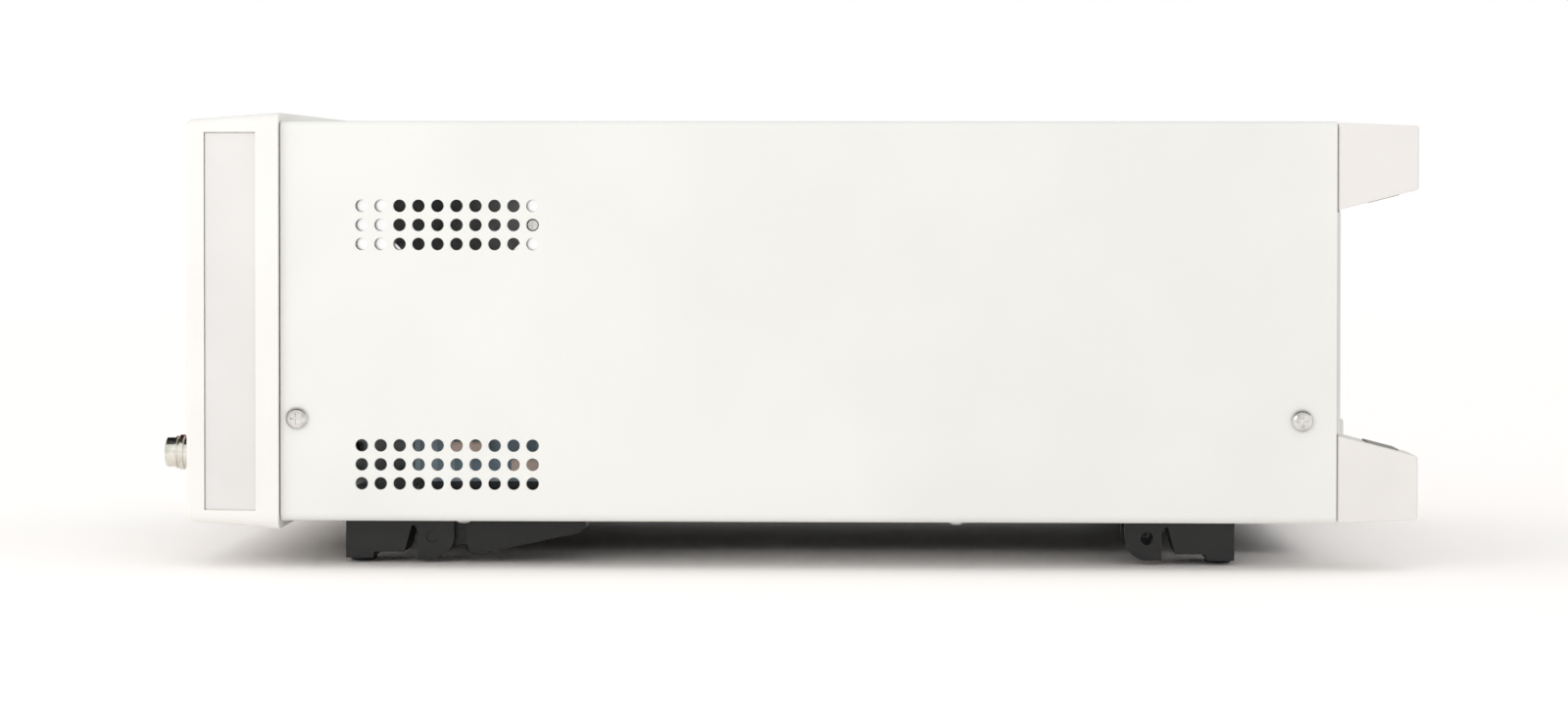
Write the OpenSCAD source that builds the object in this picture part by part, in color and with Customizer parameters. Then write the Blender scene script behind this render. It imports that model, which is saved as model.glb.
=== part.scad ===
// Half-rack bench power supply, built up from its separate pieces.
// Millimetres. The front faces -Y, +X is to the right of someone facing it, and z = 0 is the bench.
// The origin is under the middle of the whole part. Inside the modules y runs from the bezel's
// front plane, and from_front() moves a piece from there to the origin.

/* [Case] */
// Width of the cover, outside
case_w = 215; // [210:1:262]
// Height of the cover, outside
case_h = 126.2; // [120:0.1:155]
// Depth of the cover, outside
case_d = 332; // [320:1:400]
// Height of the cover's bottom edge above the bench
stand_h = 15; // [14:0.5:18]
// Thickness of the cover and chassis sheet
sheet_t = 1; // [0.8:0.1:1.2]
// Outside radius of the cover's folds
bend_r = 2.5; // [1.8:0.1:4]
// Width of the cover's inward flanges along its bottom edges
flange_w = 12; // [10:0.5:16]
// Gap between the cover's side and the chassis side
side_gap = 2.2; // [2:0.1:3]
// Thickness of the rear panel
rear_t = 1.2; // [1:0.1:2]

/* [Bezel] */
// Depth of the front bezel
bezel_d = 29.4; // [28:0.2:34]
// How far the bezel's rear edge stands proud of the cover
bezel_proud = 2.6; // [1.5:0.1:3.5]
// How far each outside wall tapers in towards the front
bezel_taper = 2.1; // [1:0.1:2.5]
// Width of the rim round the front panel
rim_w = 5.5; // [5:0.1:7]
// Depth of the recess in each side wall of the bezel
strip_depth = 1.4; // [1:0.1:1.6]
// Thickness of the side strip in that recess
strip_t = 0.7; // [0.4:0.1:0.9]

/* [Front panel] */
// Depth by which the front panel sits behind the bezel's front plane
panel_recess = 3; // [2.5:0.1:4]
// Thickness of the front panel
panel_t = 2.5; // [2:0.1:3]
// Width of the display window
window_w = 100; // [80:1:102]
// Height of the display window
window_h = 50; // [40:1:52]
// Width of a function key
key_w = 11; // [8:0.5:11.5]
// Height of a function key
key_h = 9; // [7:0.5:11]
// Spacing of the function keys
key_pitch = 14; // [14:0.5:15]
// How far a key stands out of the front panel
key_proud = 2; // [1.5:0.1:2.4]
// Travel of a key
key_travel = 1.5; // [1:0.1:1.7]
// Side of the square power button
power_w = 13; // [10:0.5:15]
// Travel of the power button
power_travel = 3; // [2:0.1:3.4]
// Radius of the adjusting knob
knob_r = 13; // [9:0.5:16]
// How far the knob stands in front of the bezel's front plane
knob_reach = 4; // [2:0.5:6]

/* [Terminals] */
// Bore of a socket contact
contact_bore = 4; // [3.9:0.1:4.2]
// Distance between a sense socket and its output socket
sense_pitch = 19.05; // [18:0.05:20]
// Distance between the earth socket and an output socket
earth_pitch = 24; // [19:0.5:25]
// Diameter of the coaxial jack's barrel
jack_d = 9.6; // [9.5:0.1:9.8]
// How far the coaxial jack stands in front of the bezel's front plane
jack_reach = 12.3; // [12:0.1:14]

/* [Vents] */
// Diameter of a vent hole
vent_d = 4; // [3:0.1:4.5]
// Spacing of the vent holes
vent_pitch = 6; // [5:0.1:6.2]
// Columns of vent holes in a group
vent_cols = 10; // [6:1:10]
// Rows of vent holes in a group
vent_rows = 3; // [1:1:3]

/* [Feet] */
// Width of a foot
foot_w = 22; // [20:1:26]
// Distance from the cover's side to the middle of a foot
foot_inboard = 31.5; // [27:0.5:40]
// Height of the rubber pad below its foot
pad_h = 1.5; // [1:0.1:2]
// Diameter of a rubber pad
pad_d = 8.5; // [7:0.5:9]
// Length of a tilt leg from its hinge pin to its tip
leg_len = 49.2; // [36:0.1:60]
// Radius of a tilt leg's hinge pin
pin_r = 2; // [1.5:0.1:2.5]
// Running clearance of hinge pins and shafts, on the radius
running_fit = 0.05; // [0.03:0.01:0.1]

/* [Rear] */
// Length of a rear bumper
bumper_d = 25.4; // [18:0.2:30]
// Width of a rear bumper
bumper_w = 30; // [28:1:36]
// Height of a rear bumper at its root
bumper_h = 27.4; // [24:0.2:32]
// Side of the square fan
fan_w = 80; // [60:1:80]
// Depth of the fan
fan_d = 25; // [20:1:32]
// Travel of the fuse drawer
drawer_travel = 14; // [8:1:16]

/* [Inside] */
// Radius of the ring transformer
ring_r = 46; // [36:1:48]
// Height of the ring transformer
ring_h = 44; // [32:1:56]
// Height of the main board above the chassis floor
board_lift = 6; // [5:0.5:8]
// Thickness of a circuit board
board_t = 1.6; // [1:0.1:2]
// Radius of a reservoir capacitor
can_r = 12; // [8:0.5:13]
// Height of a reservoir capacitor
can_h = 42; // [25:1:50]

/* [Hidden] */
$fn = 48;

// Colours
cream = "#FCFAF5";
cover_white = "#F2F3EE";
strip_grey = "#ECE8E4";
panel_grey = "#E4E4E0";
bare_steel = "#C9CCCC";
nickel = "#D2D2CB";
black_plastic = "#323232";
board_green = "#5E8A8C";
aluminium = "#B9BDC0";

// Small clearances
play = 0.2;     // round a fixed piece in its cut-out
near = 0.3;     // between a moving piece and the rest
lap = 1;        // how far a cut runs past a face

// Levels
cover_z0 = stand_h;
cover_z1 = stand_h + case_h;
tray_z0 = cover_z0 + sheet_t;
tray_z1 = tray_z0 + sheet_t;
side_top = cover_z1 - sheet_t - 0.5;
case_mid_z = (cover_z0 + cover_z1) / 2;

// Planes along the depth, from the bezel's front plane
cover_gap = 0.4;
cover_y0 = bezel_d + cover_gap;
cover_y1 = cover_y0 + case_d;
rear_y0 = cover_y1;
rear_y1 = rear_y0 + rear_t;
bulk_y = 25;
panel_y0 = panel_recess;
panel_y1 = panel_recess + panel_t;
bumper_gap = 0.3;
bumper_y0 = cover_y1 + bumper_gap;
overall_d = jack_reach + bumper_y0 + bumper_d;
front_y = jack_reach - overall_d / 2;

// Widths
tray_w = case_w - 2 * (sheet_t + side_gap);
tray_in = tray_w / 2 - sheet_t;
bezel_w = case_w + 2 * bezel_proud;
bezel_h = case_h + 2 * bezel_proud;
bezel_z0 = cover_z0 - bezel_proud;
edge_round = 1.2;
corner_r = 4;
open_w = bezel_w - 2 * (bezel_taper + rim_w);
open_h = bezel_h - 2 * (bezel_taper + rim_w);
panel_lap = 2;
panel_w = open_w + 2 * panel_lap;
panel_h = open_h + 2 * panel_lap;
boss_w = 11;
boss_screw_r = 1.5;
boss_head_r = 2.7;
boss_x = tray_in - sheet_t - boss_head_r - 0.4;
boss_dz = panel_h / 2 + play - boss_w / 2;

// Bezel side strips: front and rear edge, and the plain height above and below
strip_y0 = 5.7;
strip_y1 = 22.2;
strip_end = 6.1;
strip_shift = 0.12;

// Front layout, from the middle of the front and from its edges
front_right = case_w / 2;
window_x = -front_right + 12.5 + window_w / 2;
window_z = cover_z1 - 17.2 - window_h / 2;
knob_x = front_right - 35.5;
knob_z = cover_z1 - 33;
key_x0 = knob_x - 58;
key_z0 = cover_z1 - 19.2;
socket_z = cover_z0 + 19.4;
earth_x = -14;
socket_xs = [
    earth_x - earth_pitch - sense_pitch, earth_x - earth_pitch, earth_x,
    earth_x + earth_pitch, earth_x + earth_pitch + sense_pitch
];
output_x = earth_x;
output_z = cover_z0 + 42;
output_w = 16;
power_x = -front_right + 24.5;
power_z = socket_z;
jack_x = front_right - 33;
jack_z = socket_z;

// Keys behind the panel
flange_rim = 1;
key_flange_t = 1;
key_stem_r = 1.8;
key_stem_end = panel_y1 + near + key_flange_t + 2;
switch_y = key_stem_end + key_travel + near;
switch_t = 1.4;
keys_y = switch_y + switch_t;
rod_w = 5;
rod_len = 8;
pocket_gap = 0.5;

// Sockets
socket_r = 6.4;
socket_flange_r = 8;
socket_proud = 2.4;
socket_len = 17;
shroud_wall = 1.1;
contact_r = 2.9;
core_r = contact_r + 0.7;
groove_len = 14;
nut_t = 3;

// Knob and encoder
shaft_r = 3;
bush_r = 4.5;
encoder_w = 12;
encoder_t = 4.5;

// Coaxial jack
jack_r = jack_d / 2;
jack_wall = 0.75;
lug_r = 0.7;
lug_reach = 0.7;
lug_back = 2.6;
jack_ring_r = 5.3;
collar_r = 5.7;
jack_flange_r = 7.5;

// Vents: first column behind the bezel plane, lowest rows from the case's bottom and top edges
vent_y0 = 55.5;
vent_low_z = cover_z0 + 12;
vent_high_z = cover_z1 - 38.7;
vent_end = vent_y0 + (vent_cols - 1) * vent_pitch;

// Screws
screw_y0 = cover_y0 + 5.2;
screw_y1 = cover_y1 - 10.8;
side_screw_z = cover_z0 + 32.5;
side_screw_r = 2;
landing_r = 5;
bottom_screw_ys = [cover_y0 + 57.2, cover_y0 + 213.2];
bottom_screw_r = 1.5;
bottom_screw_x = case_w / 2 - 7.5;
brace_y = vent_y0 + 9 * 6;
brace_z = cover_z1 - 32.7;
brace_screw_r = 2.6;

// Feet: hinge pin and pad centre of a front foot, and the same for a rear foot behind its mirror
foot_x = case_w / 2 - foot_inboard;
hinge_y = 75.5;
hinge_z = 8.5;
knuckle_r = 7;
pad_y = 52;
rear_mirror = cover_y1 + 17.8;
ear_t = 3.7;
fork_w = foot_w - 2 * ear_t;
barrel_r = 5.4;
foot_z0 = pad_h;
block_z0 = 3.5;
spigot_r = 2;
spigot_h = 4;

// Rear panel's edge, inside the cover's, its step round the bumpers and the bumpers' screws
rear_edge = 0.7;
rear_step = 3.5;
bumper_x = case_w / 2 - 17;
bumper_z = cover_z1 - 12.5;
bumper_seat = bumper_y0 + 6;
bumper_ease = 0.6;

// Rear layout
fan_x = 38;
fan_z = cover_z0 + 62;
fan_hole = 71.5 / 80 * fan_w / 2;
fan_y0 = rear_y0 - fan_d;
rotor_r = fan_w / 2 - 3.2;
hub_r = 15;
guard_t = 1.6;
eye_t = 1.2;
inlet_x = -50;
inlet_z = cover_z0 + 34;
inlet_w = 28;
inlet_h = 34;
inlet_depth = 30;
cavity_w = 24;
cavity_h = 16;
cavity_z = inlet_z + 5;
cavity_depth = 17;
drawer_w = 20;
drawer_h = 7;
drawer_len = drawer_travel + 8;
drawer_z = inlet_z - 11;
blade_places = [[-7, -1.5, 2, 4], [7, -1.5, 2, 4], [0, 2.5, 2, 4]]; // across, up, width, height
terminal_x = -50;
terminal_z = cover_z0 + 72;
terminal_w = 48;
terminal_h = 14;
port_z = cover_z1 - 27;
port_w = 16;
port_h = 13.5;
port_d = 18;
port_xs = [-66, -36];

// Inside layout
board_z0 = tray_z1 + board_lift;
board_z1 = board_z0 + board_t;
board_y0 = 71;
board_y1 = 214;
board_x = tray_in - 6;
ring_x = -30;
ring_y = cover_y0 + 236;
upright_x = tray_in - 7;
upright_z0 = board_z1 + 4;
upright_h = 50;
upright_y1 = 160;
ribbon_x = knob_x - 10;
ribbon_z = cover_z0 + 56;

// ---------------------------------------------------------------- shared shapes

// Moves a piece from the bezel's front plane to the model's origin.
module from_front() {
    translate([0, front_y, 0]) children();
}

// Repeats a piece on the left and the right.
module both_sides() {
    children();
    mirror([1, 0, 0]) children();
}

// Extrudes an outline drawn in x and z from one depth to another.
module along_y(y0, y1) {
    translate([0, y1, 0]) rotate([90, 0, 0]) linear_extrude(y1 - y0) children();
}

// Extrudes an outline drawn in y and z from one side to the other.
module across_x(x0, x1) {
    translate([x0, 0, 0]) rotate([90, 0, 90]) linear_extrude(x1 - x0) children();
}

// A round rod along the depth.
module rod(x, z, r, y0, y1) {
    translate([x, y0, z]) rotate([-90, 0, 0]) cylinder(r = r, h = y1 - y0);
}

// A round bar from left to right.
module bar(y, z, r, x0, x1) {
    translate([x0, y, z]) rotate([0, 90, 0]) cylinder(r = r, h = x1 - x0);
}

// A turned shape about an axis along the depth, its outline drawn as radius and depth.
module turned(x, z, y0) {
    translate([x, y0, z]) rotate([-90, 0, 0]) rotate_extrude() children();
}

// A rectangle with round corners, centred.
module rounded(w, h, r) {
    square([w - 2 * r, h], center = true);
    square([w, h - 2 * r], center = true);
    for (sx = [-1, 1], sy = [-1, 1])
        translate([sx * (w / 2 - r), sy * (h / 2 - r)]) circle(r);
}

// A block between two depths with round corners, centred on x and z.
module block(x, z, w, h, y0, y1, r = 1) {
    along_y(y0, y1) translate([x, z]) rounded(w, h, r);
}

// A pan-head screw with a cross recess, its head's seat at the origin and its head towards +Z.
module pan_screw(head_r, head_h, shank_r, shank_len) {
    difference() {
        union() {
            rotate_extrude() polygon([
                [0, 0], [head_r, 0], [head_r, 0.35 * head_h], [0.86 * head_r, 0.75 * head_h],
                [0.6 * head_r, head_h], [0, head_h]
            ]);
            translate([0, 0, -shank_len]) cylinder(r = shank_r, h = shank_len);
        }
        for (a = [0, 90])
            rotate([0, 0, a]) translate([-0.55 * head_r, -0.11 * head_r, 0.45 * head_h])
                cube([1.1 * head_r, 0.22 * head_r, head_h]);
    }
}

// ---------------------------------------------------------------- case

module cover_section(inset, r) {
    translate([0, case_mid_z]) rounded(case_w - 2 * inset, case_h - 2 * inset, r);
}

// Every vent hole of both sides, as rods that run right through the case.
module vent_rods() {
    for (z0 = [vent_low_z, vent_high_z], row = [0:vent_rows - 1], col = [0:vent_cols - 1])
        bar(vent_y0 + col * vent_pitch, z0 + row * vent_pitch, vent_d / 2,
            -case_w / 2 - lap, case_w / 2 + lap);
}

// Painted steel, folded into the top, both sides and the two flanges underneath.
module cover() {
    color(cover_white) from_front() difference() {
        along_y(cover_y0, cover_y1) difference() {
            cover_section(0, bend_r);
            cover_section(sheet_t, bend_r - sheet_t);
            translate([-case_w / 2 + flange_w, cover_z0 - lap])
                square([case_w - 2 * flange_w, sheet_t + 2 * lap]);
        }
        vent_rods();
        for (y = [screw_y0, screw_y1])
            bar(y, side_screw_z, side_screw_r + play, -case_w / 2 - lap, case_w / 2 + lap);
        both_sides() for (y = bottom_screw_ys)
            translate([bottom_screw_x, y, cover_z0 - lap])
                cylinder(r = bottom_screw_r + play, h = sheet_t + 2 * lap);
    }
}

// An opening in the chassis behind a group of vent holes, with its corners cut off. It starts at x0,
// so that it goes through both sides or the right-hand side only.
module side_opening(x0, y0, y1, z0, z1, cut) {
    across_x(x0, case_w / 2) polygon([
        [y0 + cut, z0], [y1 - cut, z0], [y1, z0 + cut], [y1, z1 - cut],
        [y1 - cut, z1], [y0 + cut, z1], [y0, z1 - cut], [y0, z0 + cut]
    ]);
}

// Plated steel tray: floor, sides with a turned-in top edge, and flanges for the rear panel.
module chassis() {
    lip_w = 8;
    flange = 20;
    color(bare_steel) from_front() difference() {
        union() {
            translate([-tray_w / 2, bulk_y, tray_z0]) cube([tray_w, rear_y0 - bulk_y, sheet_t]);
            both_sides() {
                translate([tray_in, bulk_y, tray_z0])
                    cube([sheet_t, rear_y0 - bulk_y, side_top - tray_z0]);
                translate([tray_in - lip_w, cover_y0, side_top - sheet_t])
                    cube([lip_w + sheet_t, rear_y0 - cover_y0, sheet_t]);
                translate([tray_in - flange, rear_y0 - sheet_t, tray_z0])
                    cube([flange + sheet_t, sheet_t, side_top - tray_z0]);
                for (y = [screw_y0, screw_y1])
                    bar(y, side_screw_z, landing_r, tray_in, tray_w / 2 + side_gap - play);
            }
        }
        side_opening(-case_w / 2, vent_y0 - 3.5, vent_end + 3.5, vent_low_z - 4, vent_low_z + 16, 2);
        side_opening(0, vent_y0 + 9, vent_end - 2.9, vent_high_z - 3.5, vent_high_z + 21.5, 5);
        for (y = [screw_y0, screw_y1])
            bar(y, side_screw_z, side_screw_r + running_fit, -case_w / 2, case_w / 2);
        bar(brace_y, brace_z, boss_screw_r + running_fit, -case_w / 2, case_w / 2);
        both_sides() {
            for (y = bottom_screw_ys)
                translate([bottom_screw_x, y, tray_z0 - lap])
                    cylinder(r = bottom_screw_r + running_fit, h = sheet_t + 2 * lap);
        }
        rear_screw_points() rod(0, 0, boss_screw_r + running_fit, rear_y0 - 2 * lap, rear_y0 + lap);
        bumper_points() rod(0, 0, boss_screw_r + running_fit, rear_y0 - 2 * lap, rear_y0 + lap);
        for (x = [-60:12:60])
            translate([x, board_y0 + 30, tray_z0 - lap]) cube([4, 60, sheet_t + 2 * lap]);
    }
}

// Folded plate between the chassis sides that carries the bezel and the front boards.
module front_bulkhead() {
    top = side_top - sheet_t - play;
    flange = 12;
    color(bare_steel) from_front() difference() {
        union() {
            translate([-tray_in, bulk_y, tray_z1]) cube([2 * tray_in, sheet_t, top - tray_z1]);
            both_sides() translate([tray_in - sheet_t, bulk_y, tray_z1])
                cube([sheet_t, flange, top - tray_z1]);
            translate([-tray_in, bulk_y, tray_z1]) cube([2 * tray_in, flange, sheet_t]);
        }
        bar(screw_y0, side_screw_z, side_screw_r + running_fit, -case_w / 2, case_w / 2);
        boss_centres() rod(0, 0, boss_screw_r + play, bulk_y - lap, bulk_y + 2 * lap);
        translate([socket_xs[0] - 6, bulk_y - lap, socket_z - 6])
            cube([socket_xs[4] - socket_xs[0] + 12, sheet_t + 2 * lap, 12]);
        translate([ribbon_x - 15, bulk_y - lap, ribbon_z - 3])
            cube([30, sheet_t + 2 * lap, 7]);
    }
}

// Folded bar that ties the chassis sides together.
module cross_brace() {
    brace_w = 12;
    leg_h = 14;
    rib_h = 6;
    y0 = brace_y - brace_screw_r - 0.2;
    color(bare_steel) from_front() difference() {
        union() {
            translate([-tray_in, y0, brace_z + leg_h / 2 - sheet_t]) cube([2 * tray_in, brace_w, sheet_t]);
            both_sides() translate([tray_in - sheet_t, y0, brace_z - leg_h / 2])
                cube([sheet_t, brace_w, leg_h]);
            translate([-tray_in, y0 + brace_w - sheet_t, brace_z + leg_h / 2 - rib_h])
                cube([2 * tray_in, sheet_t, rib_h]);
        }
        bar(brace_y, brace_z, boss_screw_r + running_fit, -case_w / 2, case_w / 2);
    }
}

// Outline of the rear panel, stepped in at each corner for the bumper that wraps round it.
module rear_outline(grow) {
    w = case_w - 2 * rear_edge + 2 * grow;
    h = case_h - 2 * rear_edge + 2 * grow;
    translate([0, case_mid_z]) {
        square([w - 2 * rear_step, h - 2 * rear_step], center = true);
        square([w, h - 2 * (bumper_h + near)], center = true);
        square([w - 2 * (bumper_w + near), h], center = true);
    }
}

// Painted plate with the cut-outs for the fan, the inlet, the terminals and the ports.
module rear_panel() {
    color(panel_grey) from_front() difference() {
        along_y(rear_y0, rear_y1) rear_outline(0);
        rod(fan_x, fan_z, fan_w / 2 - 3, rear_y0 - lap, rear_y1 + lap);
        fan_corners() rod(0, 0, 1.9, rear_y0 - lap, rear_y1 + lap);
        block(inlet_x, inlet_z, inlet_w + 2 * play, inlet_h + 2 * play, rear_y0 - lap, rear_y1 + lap);
        block(terminal_x, terminal_z, terminal_w + 2 * play, terminal_h + 2 * play,
            rear_y0 - lap, rear_y1 + lap);
        for (x = port_xs)
            block(x, port_z, port_w + 2 * play, port_h + 2 * play, rear_y0 - lap, rear_y1 + lap);
        rear_screw_points() rod(0, 0, boss_screw_r + play, rear_y0 - lap, rear_y1 + lap);
        bumper_points() rod(0, 0, boss_screw_r + running_fit, rear_y0 - lap, rear_y1 + lap);
    }
}

// Where the rear panel is screwed to the chassis flanges.
module rear_screw_points() {
    both_sides() translate([bumper_x, 0, cover_z0 + 55]) children();
}

// ---------------------------------------------------------------- bezel and front panel

// The bezel's outside, drawn in from every face by an inset, with its front edge eased.
module bezel_block(inset) {
    front = bezel_taper / bezel_d;
    w = bezel_w - 2 * inset;
    h = bezel_h - 2 * inset;
    body_d = bezel_d - edge_round;
    body_cut = front * body_d;
    translate([0, 0, bezel_z0 + bezel_h / 2]) {
        translate([0, bezel_d, 0]) rotate([90, 0, 0])
            linear_extrude(body_d, scale = [1 - 2 * body_cut / w, 1 - 2 * body_cut / h], slices = 1)
                rounded(w, h, corner_r, $fn = 32);
        translate([0, edge_round, 0]) rotate([90, 0, 0])
            linear_extrude(edge_round, scale = [
                1 - 2 * edge_round * 0.7 / (w - 2 * body_cut),
                1 - 2 * edge_round * 0.7 / (h - 2 * body_cut)
            ], slices = 1)
                rounded(w - 2 * body_cut, h - 2 * body_cut, corner_r, $fn = 32);
    }
}

// The room that a side strip takes, out past the bezel's right wall, less a play at each edge
// and slid back and down by a shift.
module strip_room(less, shift) {
    translate([bezel_w / 2 - 6, strip_y0 + less + shift, bezel_z0 + strip_end + less - shift])
        cube([8, strip_y1 - strip_y0 - 2 * less, bezel_h - 2 * (strip_end + less)]);
}

// The middle of each screw boss in the bezel's corners.
module boss_centres() {
    for (sx = [-1, 1], sz = [-1, 1])
        translate([sx * boss_x, 0, bezel_z0 + bezel_h / 2 + sz * boss_dz]) children();
}

// The four bosses, which reach out to the bezel's side walls.
module boss_blocks() {
    inner = boss_x - boss_w / 2;
    outer = panel_w / 2 + play;
    both_sides() for (sz = [-1, 1])
        block((inner + outer) / 2, bezel_z0 + bezel_h / 2 + sz * boss_dz, outer - inner, boss_w,
            panel_y1, bulk_y, 0.5);
}

// Moulded ring round the front, with a rebate for the panel and four screw bosses.
module bezel() {
    z_mid = bezel_z0 + bezel_h / 2;
    stage_y = bulk_y - 1;
    color(cream) from_front() difference() {
        union() {
            difference() {
                bezel_block(0);
                block(0, z_mid, open_w, open_h, -lap, panel_recess + lap, 3);
                block(0, z_mid, panel_w + 2 * play, panel_h + 2 * play, panel_recess, bezel_d + lap, 2);
                translate([-tray_w / 2 - play, stage_y, tray_z0 - play])
                    cube([tray_w + 2 * play, bezel_d, side_top + play - tray_z0 + play]);
                both_sides() difference() {
                    strip_room(0, 0);
                    bezel_block(strip_depth);
                }
            }
            boss_blocks();
        }
        boss_centres() rod(0, 0, boss_screw_r + running_fit, bulk_y - 12, bulk_y + lap);
    }
}

// Soft grey strips that lie in the recesses of the bezel's side walls.
module bezel_side_strips() {
    color(strip_grey) from_front() both_sides() intersection() {
        strip_room(play, strip_shift);
        difference() {
            bezel_block(strip_depth - strip_t);
            bezel_block(strip_depth);
        }
    }
}

function key_at(i) = [key_x0 + (i % 3) * key_pitch, key_z0 - floor(i / 3) * key_pitch];

// Moulded plate behind the rim, with a hole for each piece that comes through it.
module front_panel() {
    z_mid = bezel_z0 + bezel_h / 2;
    color(panel_grey) from_front() difference() {
        block(0, z_mid, panel_w, panel_h, panel_y0, panel_y1, 2);
        block(window_x, window_z, window_w + 2 * play, window_h + 2 * play,
            panel_y0 - lap, panel_y1 + lap, 2);
        for (i = [0:8])
            block(key_at(i)[0], key_at(i)[1], key_w + 2 * near, key_h + 2 * near,
                panel_y0 - lap, panel_y1 + lap, 1.5);
        block(output_x, output_z, output_w + 2 * near, key_h + 2 * near,
            panel_y0 - lap, panel_y1 + lap, 1.5);
        block(power_x, power_z, power_w + 2 * near, power_w + 2 * near,
            panel_y0 - lap, panel_y1 + lap, 2);
        rod(knob_x, knob_z, bush_r + play, panel_y0 - lap, panel_y1 + lap);
        for (x = socket_xs)
            rod(x, socket_z, socket_r + play, panel_y0 - lap, panel_y1 + lap);
        rod(jack_x, jack_z, jack_r + play, panel_y0 - lap, panel_y1 + lap);
    }
}

// Clear plate, flush with the panel and held by a lip behind it.
module display_window() {
    color("#2B3138") from_front() {
        block(window_x, window_z, window_w, window_h, panel_y0, panel_y1, 2);
        block(window_x, window_z, window_w + 4, window_h + 4, panel_y1, panel_y1 + 1, 2);
    }
}

// Display glass on its board, with a frame round it, on four pillars to the bulkhead.
module display_module() {
    y0 = panel_y1 + 1;
    color("#20262B") from_front() {
        block(window_x, window_z, window_w - 4, window_h - 4, y0, y0 + 3.5, 1);
        block(window_x, window_z, window_w + 2, window_h + 2, y0 + 3.5, y0 + 3.5 + board_t, 1);
        for (sx = [-1, 1], sz = [-1, 1])
            rod(window_x + sx * (window_w / 2 - 5), window_z + sz * (window_h / 2 - 5), 3,
                y0 + 3.5 + board_t, bulk_y);
    }
}

// Board behind the keys, with a push switch under each key, on pillars to the bulkhead.
module keyboard_board() {
    left = key_x0 - key_pitch / 2 - 1;
    right = front_right - 15;
    strip_top = output_z + 9;
    low = output_z - 9;
    high = cover_z1 - 11;
    color(board_green) from_front() {
        difference() {
            union() {
                translate([left, keys_y, low]) cube([right - left, board_t, high - low]);
                translate([output_x - 14, keys_y, low])
                    cube([left + lap - output_x + 14, board_t, strip_top - low]);
            }
            rod(knob_x, knob_z, shaft_r + 1, keys_y - lap, keys_y + board_t + lap);
        }
        for (i = [0:8])
            block(key_at(i)[0], key_at(i)[1], 6, 6, switch_y, keys_y, 0.5);
        block(output_x, output_z, 6, 6, switch_y, keys_y, 0.5);
        for (p = [[right - 5, high - 5], [right - 5, low + 5], [left + 5, high - 4], [output_x - 9, low + 4]])
            rod(p[0], p[1], 3, keys_y + board_t, bulk_y);
        translate([ribbon_x - 14, keys_y + board_t, ribbon_z - 2.5]) cube([28, 5, 5]);
    }
}

// ---------------------------------------------------------------- knob, keys and switch

// Rotary encoder on the board, its bush standing in the panel's hole.
module encoder_body() {
    color(bare_steel) from_front() difference() {
        union() {
            block(knob_x, knob_z, encoder_w, encoder_w, keys_y - encoder_t, keys_y, 0.5);
            rod(knob_x, knob_z, bush_r, panel_y0 + 0.2, keys_y - encoder_t);
        }
        rod(knob_x, knob_z, shaft_r + running_fit, panel_y0 - lap, keys_y - 1);
    }
}

// Steel shaft that the knob is pushed onto.
module encoder_shaft() {
    color(nickel) from_front()
        rod(knob_x, knob_z, shaft_r, panel_y0 - 5.5, keys_y - 1.3);
}

// Knob with a fluted skirt and a shallow dished face.
module adjust_knob() {
    y0 = -knob_reach;
    tall = knob_reach + panel_y0 - 0.6;
    flutes = 24;
    color("#D8D6D0") from_front() difference() {
        turned(knob_x, knob_z, y0) polygon([
            [0, 0.5], [knob_r - 3, 0.5], [knob_r - 2.4, 0], [knob_r - 1.6, 0], [knob_r - 0.7, 0.4],
            [knob_r - 0.2, 1.2], [knob_r, tall - 1], [knob_r, tall], [0, tall]
        ]);
        for (i = [0:flutes - 1])
            translate([knob_x, 0, knob_z]) rotate([0, i * 360 / flutes, 0])
                rod(knob_r + 0.35, 0, 0.8, y0 + 1.6, y0 + tall - 1.4);
        rod(knob_x - knob_r * 0.55, knob_z, 2, y0 - lap, y0 + 1);
        rod(knob_x, knob_z, shaft_r + running_fit / 2, panel_y0 - 5.5, panel_y0 + lap);
    }
}

// A key: cap through the panel, lip behind it, and a stem towards its switch.
module key_piece(x, z, w, h) {
    y0 = panel_y0 - key_proud;
    lip_y = panel_y1 + near;
    block(x, z, w - 1, h - 1, y0, y0 + 0.5, 1);
    block(x, z, w, h, y0 + 0.5, lip_y, 1.2);
    block(x, z, w + 2 * flange_rim + 0.4, h + 2 * flange_rim + 0.4, lip_y, lip_y + key_flange_t, 1);
    rod(x, z, key_stem_r, lip_y + key_flange_t, key_stem_end);
}

module function_key(i) {
    color("#DCDAD4") from_front() key_piece(key_at(i)[0], key_at(i)[1], key_w, key_h);
}

module output_key() {
    color("#8E9AA3") from_front() key_piece(output_x, output_z, output_w, key_h);
}

// Square button with a rod that reaches into the switch behind it.
module power_button() {
    y0 = panel_y0 - key_proud;
    lip_y = panel_y1 + near;
    color("#C9C6BF") from_front() {
        block(power_x, power_z, power_w - 1, power_w - 1, y0, y0 + 0.5, 1.5);
        block(power_x, power_z, power_w, power_w, y0 + 0.5, lip_y, 1.7);
        block(power_x, power_z, power_w + 2 * flange_rim + 0.6, power_w + 2 * flange_rim + 0.6,
            lip_y, lip_y + 1.2, 1.5);
        block(power_x, power_z, rod_w, rod_w, lip_y + 1.2, lip_y + 1.2 + rod_len, 0.5);
    }
}

// Mains switch on the bulkhead, with a pocket for the button's rod.
module power_switch() {
    w = 18;
    y0 = panel_y1 + near + 1.2 + power_travel + near;
    pocket = power_travel + rod_len + 2;
    color(black_plastic) from_front() difference() {
        block(power_x, power_z, w, w, y0, bulk_y, 0.8);
        block(power_x, power_z, rod_w + 2 * pocket_gap, rod_w + 2 * pocket_gap,
            y0 - lap, panel_y1 + near + 1.2 + pocket, 0.5);
    }
}

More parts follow.
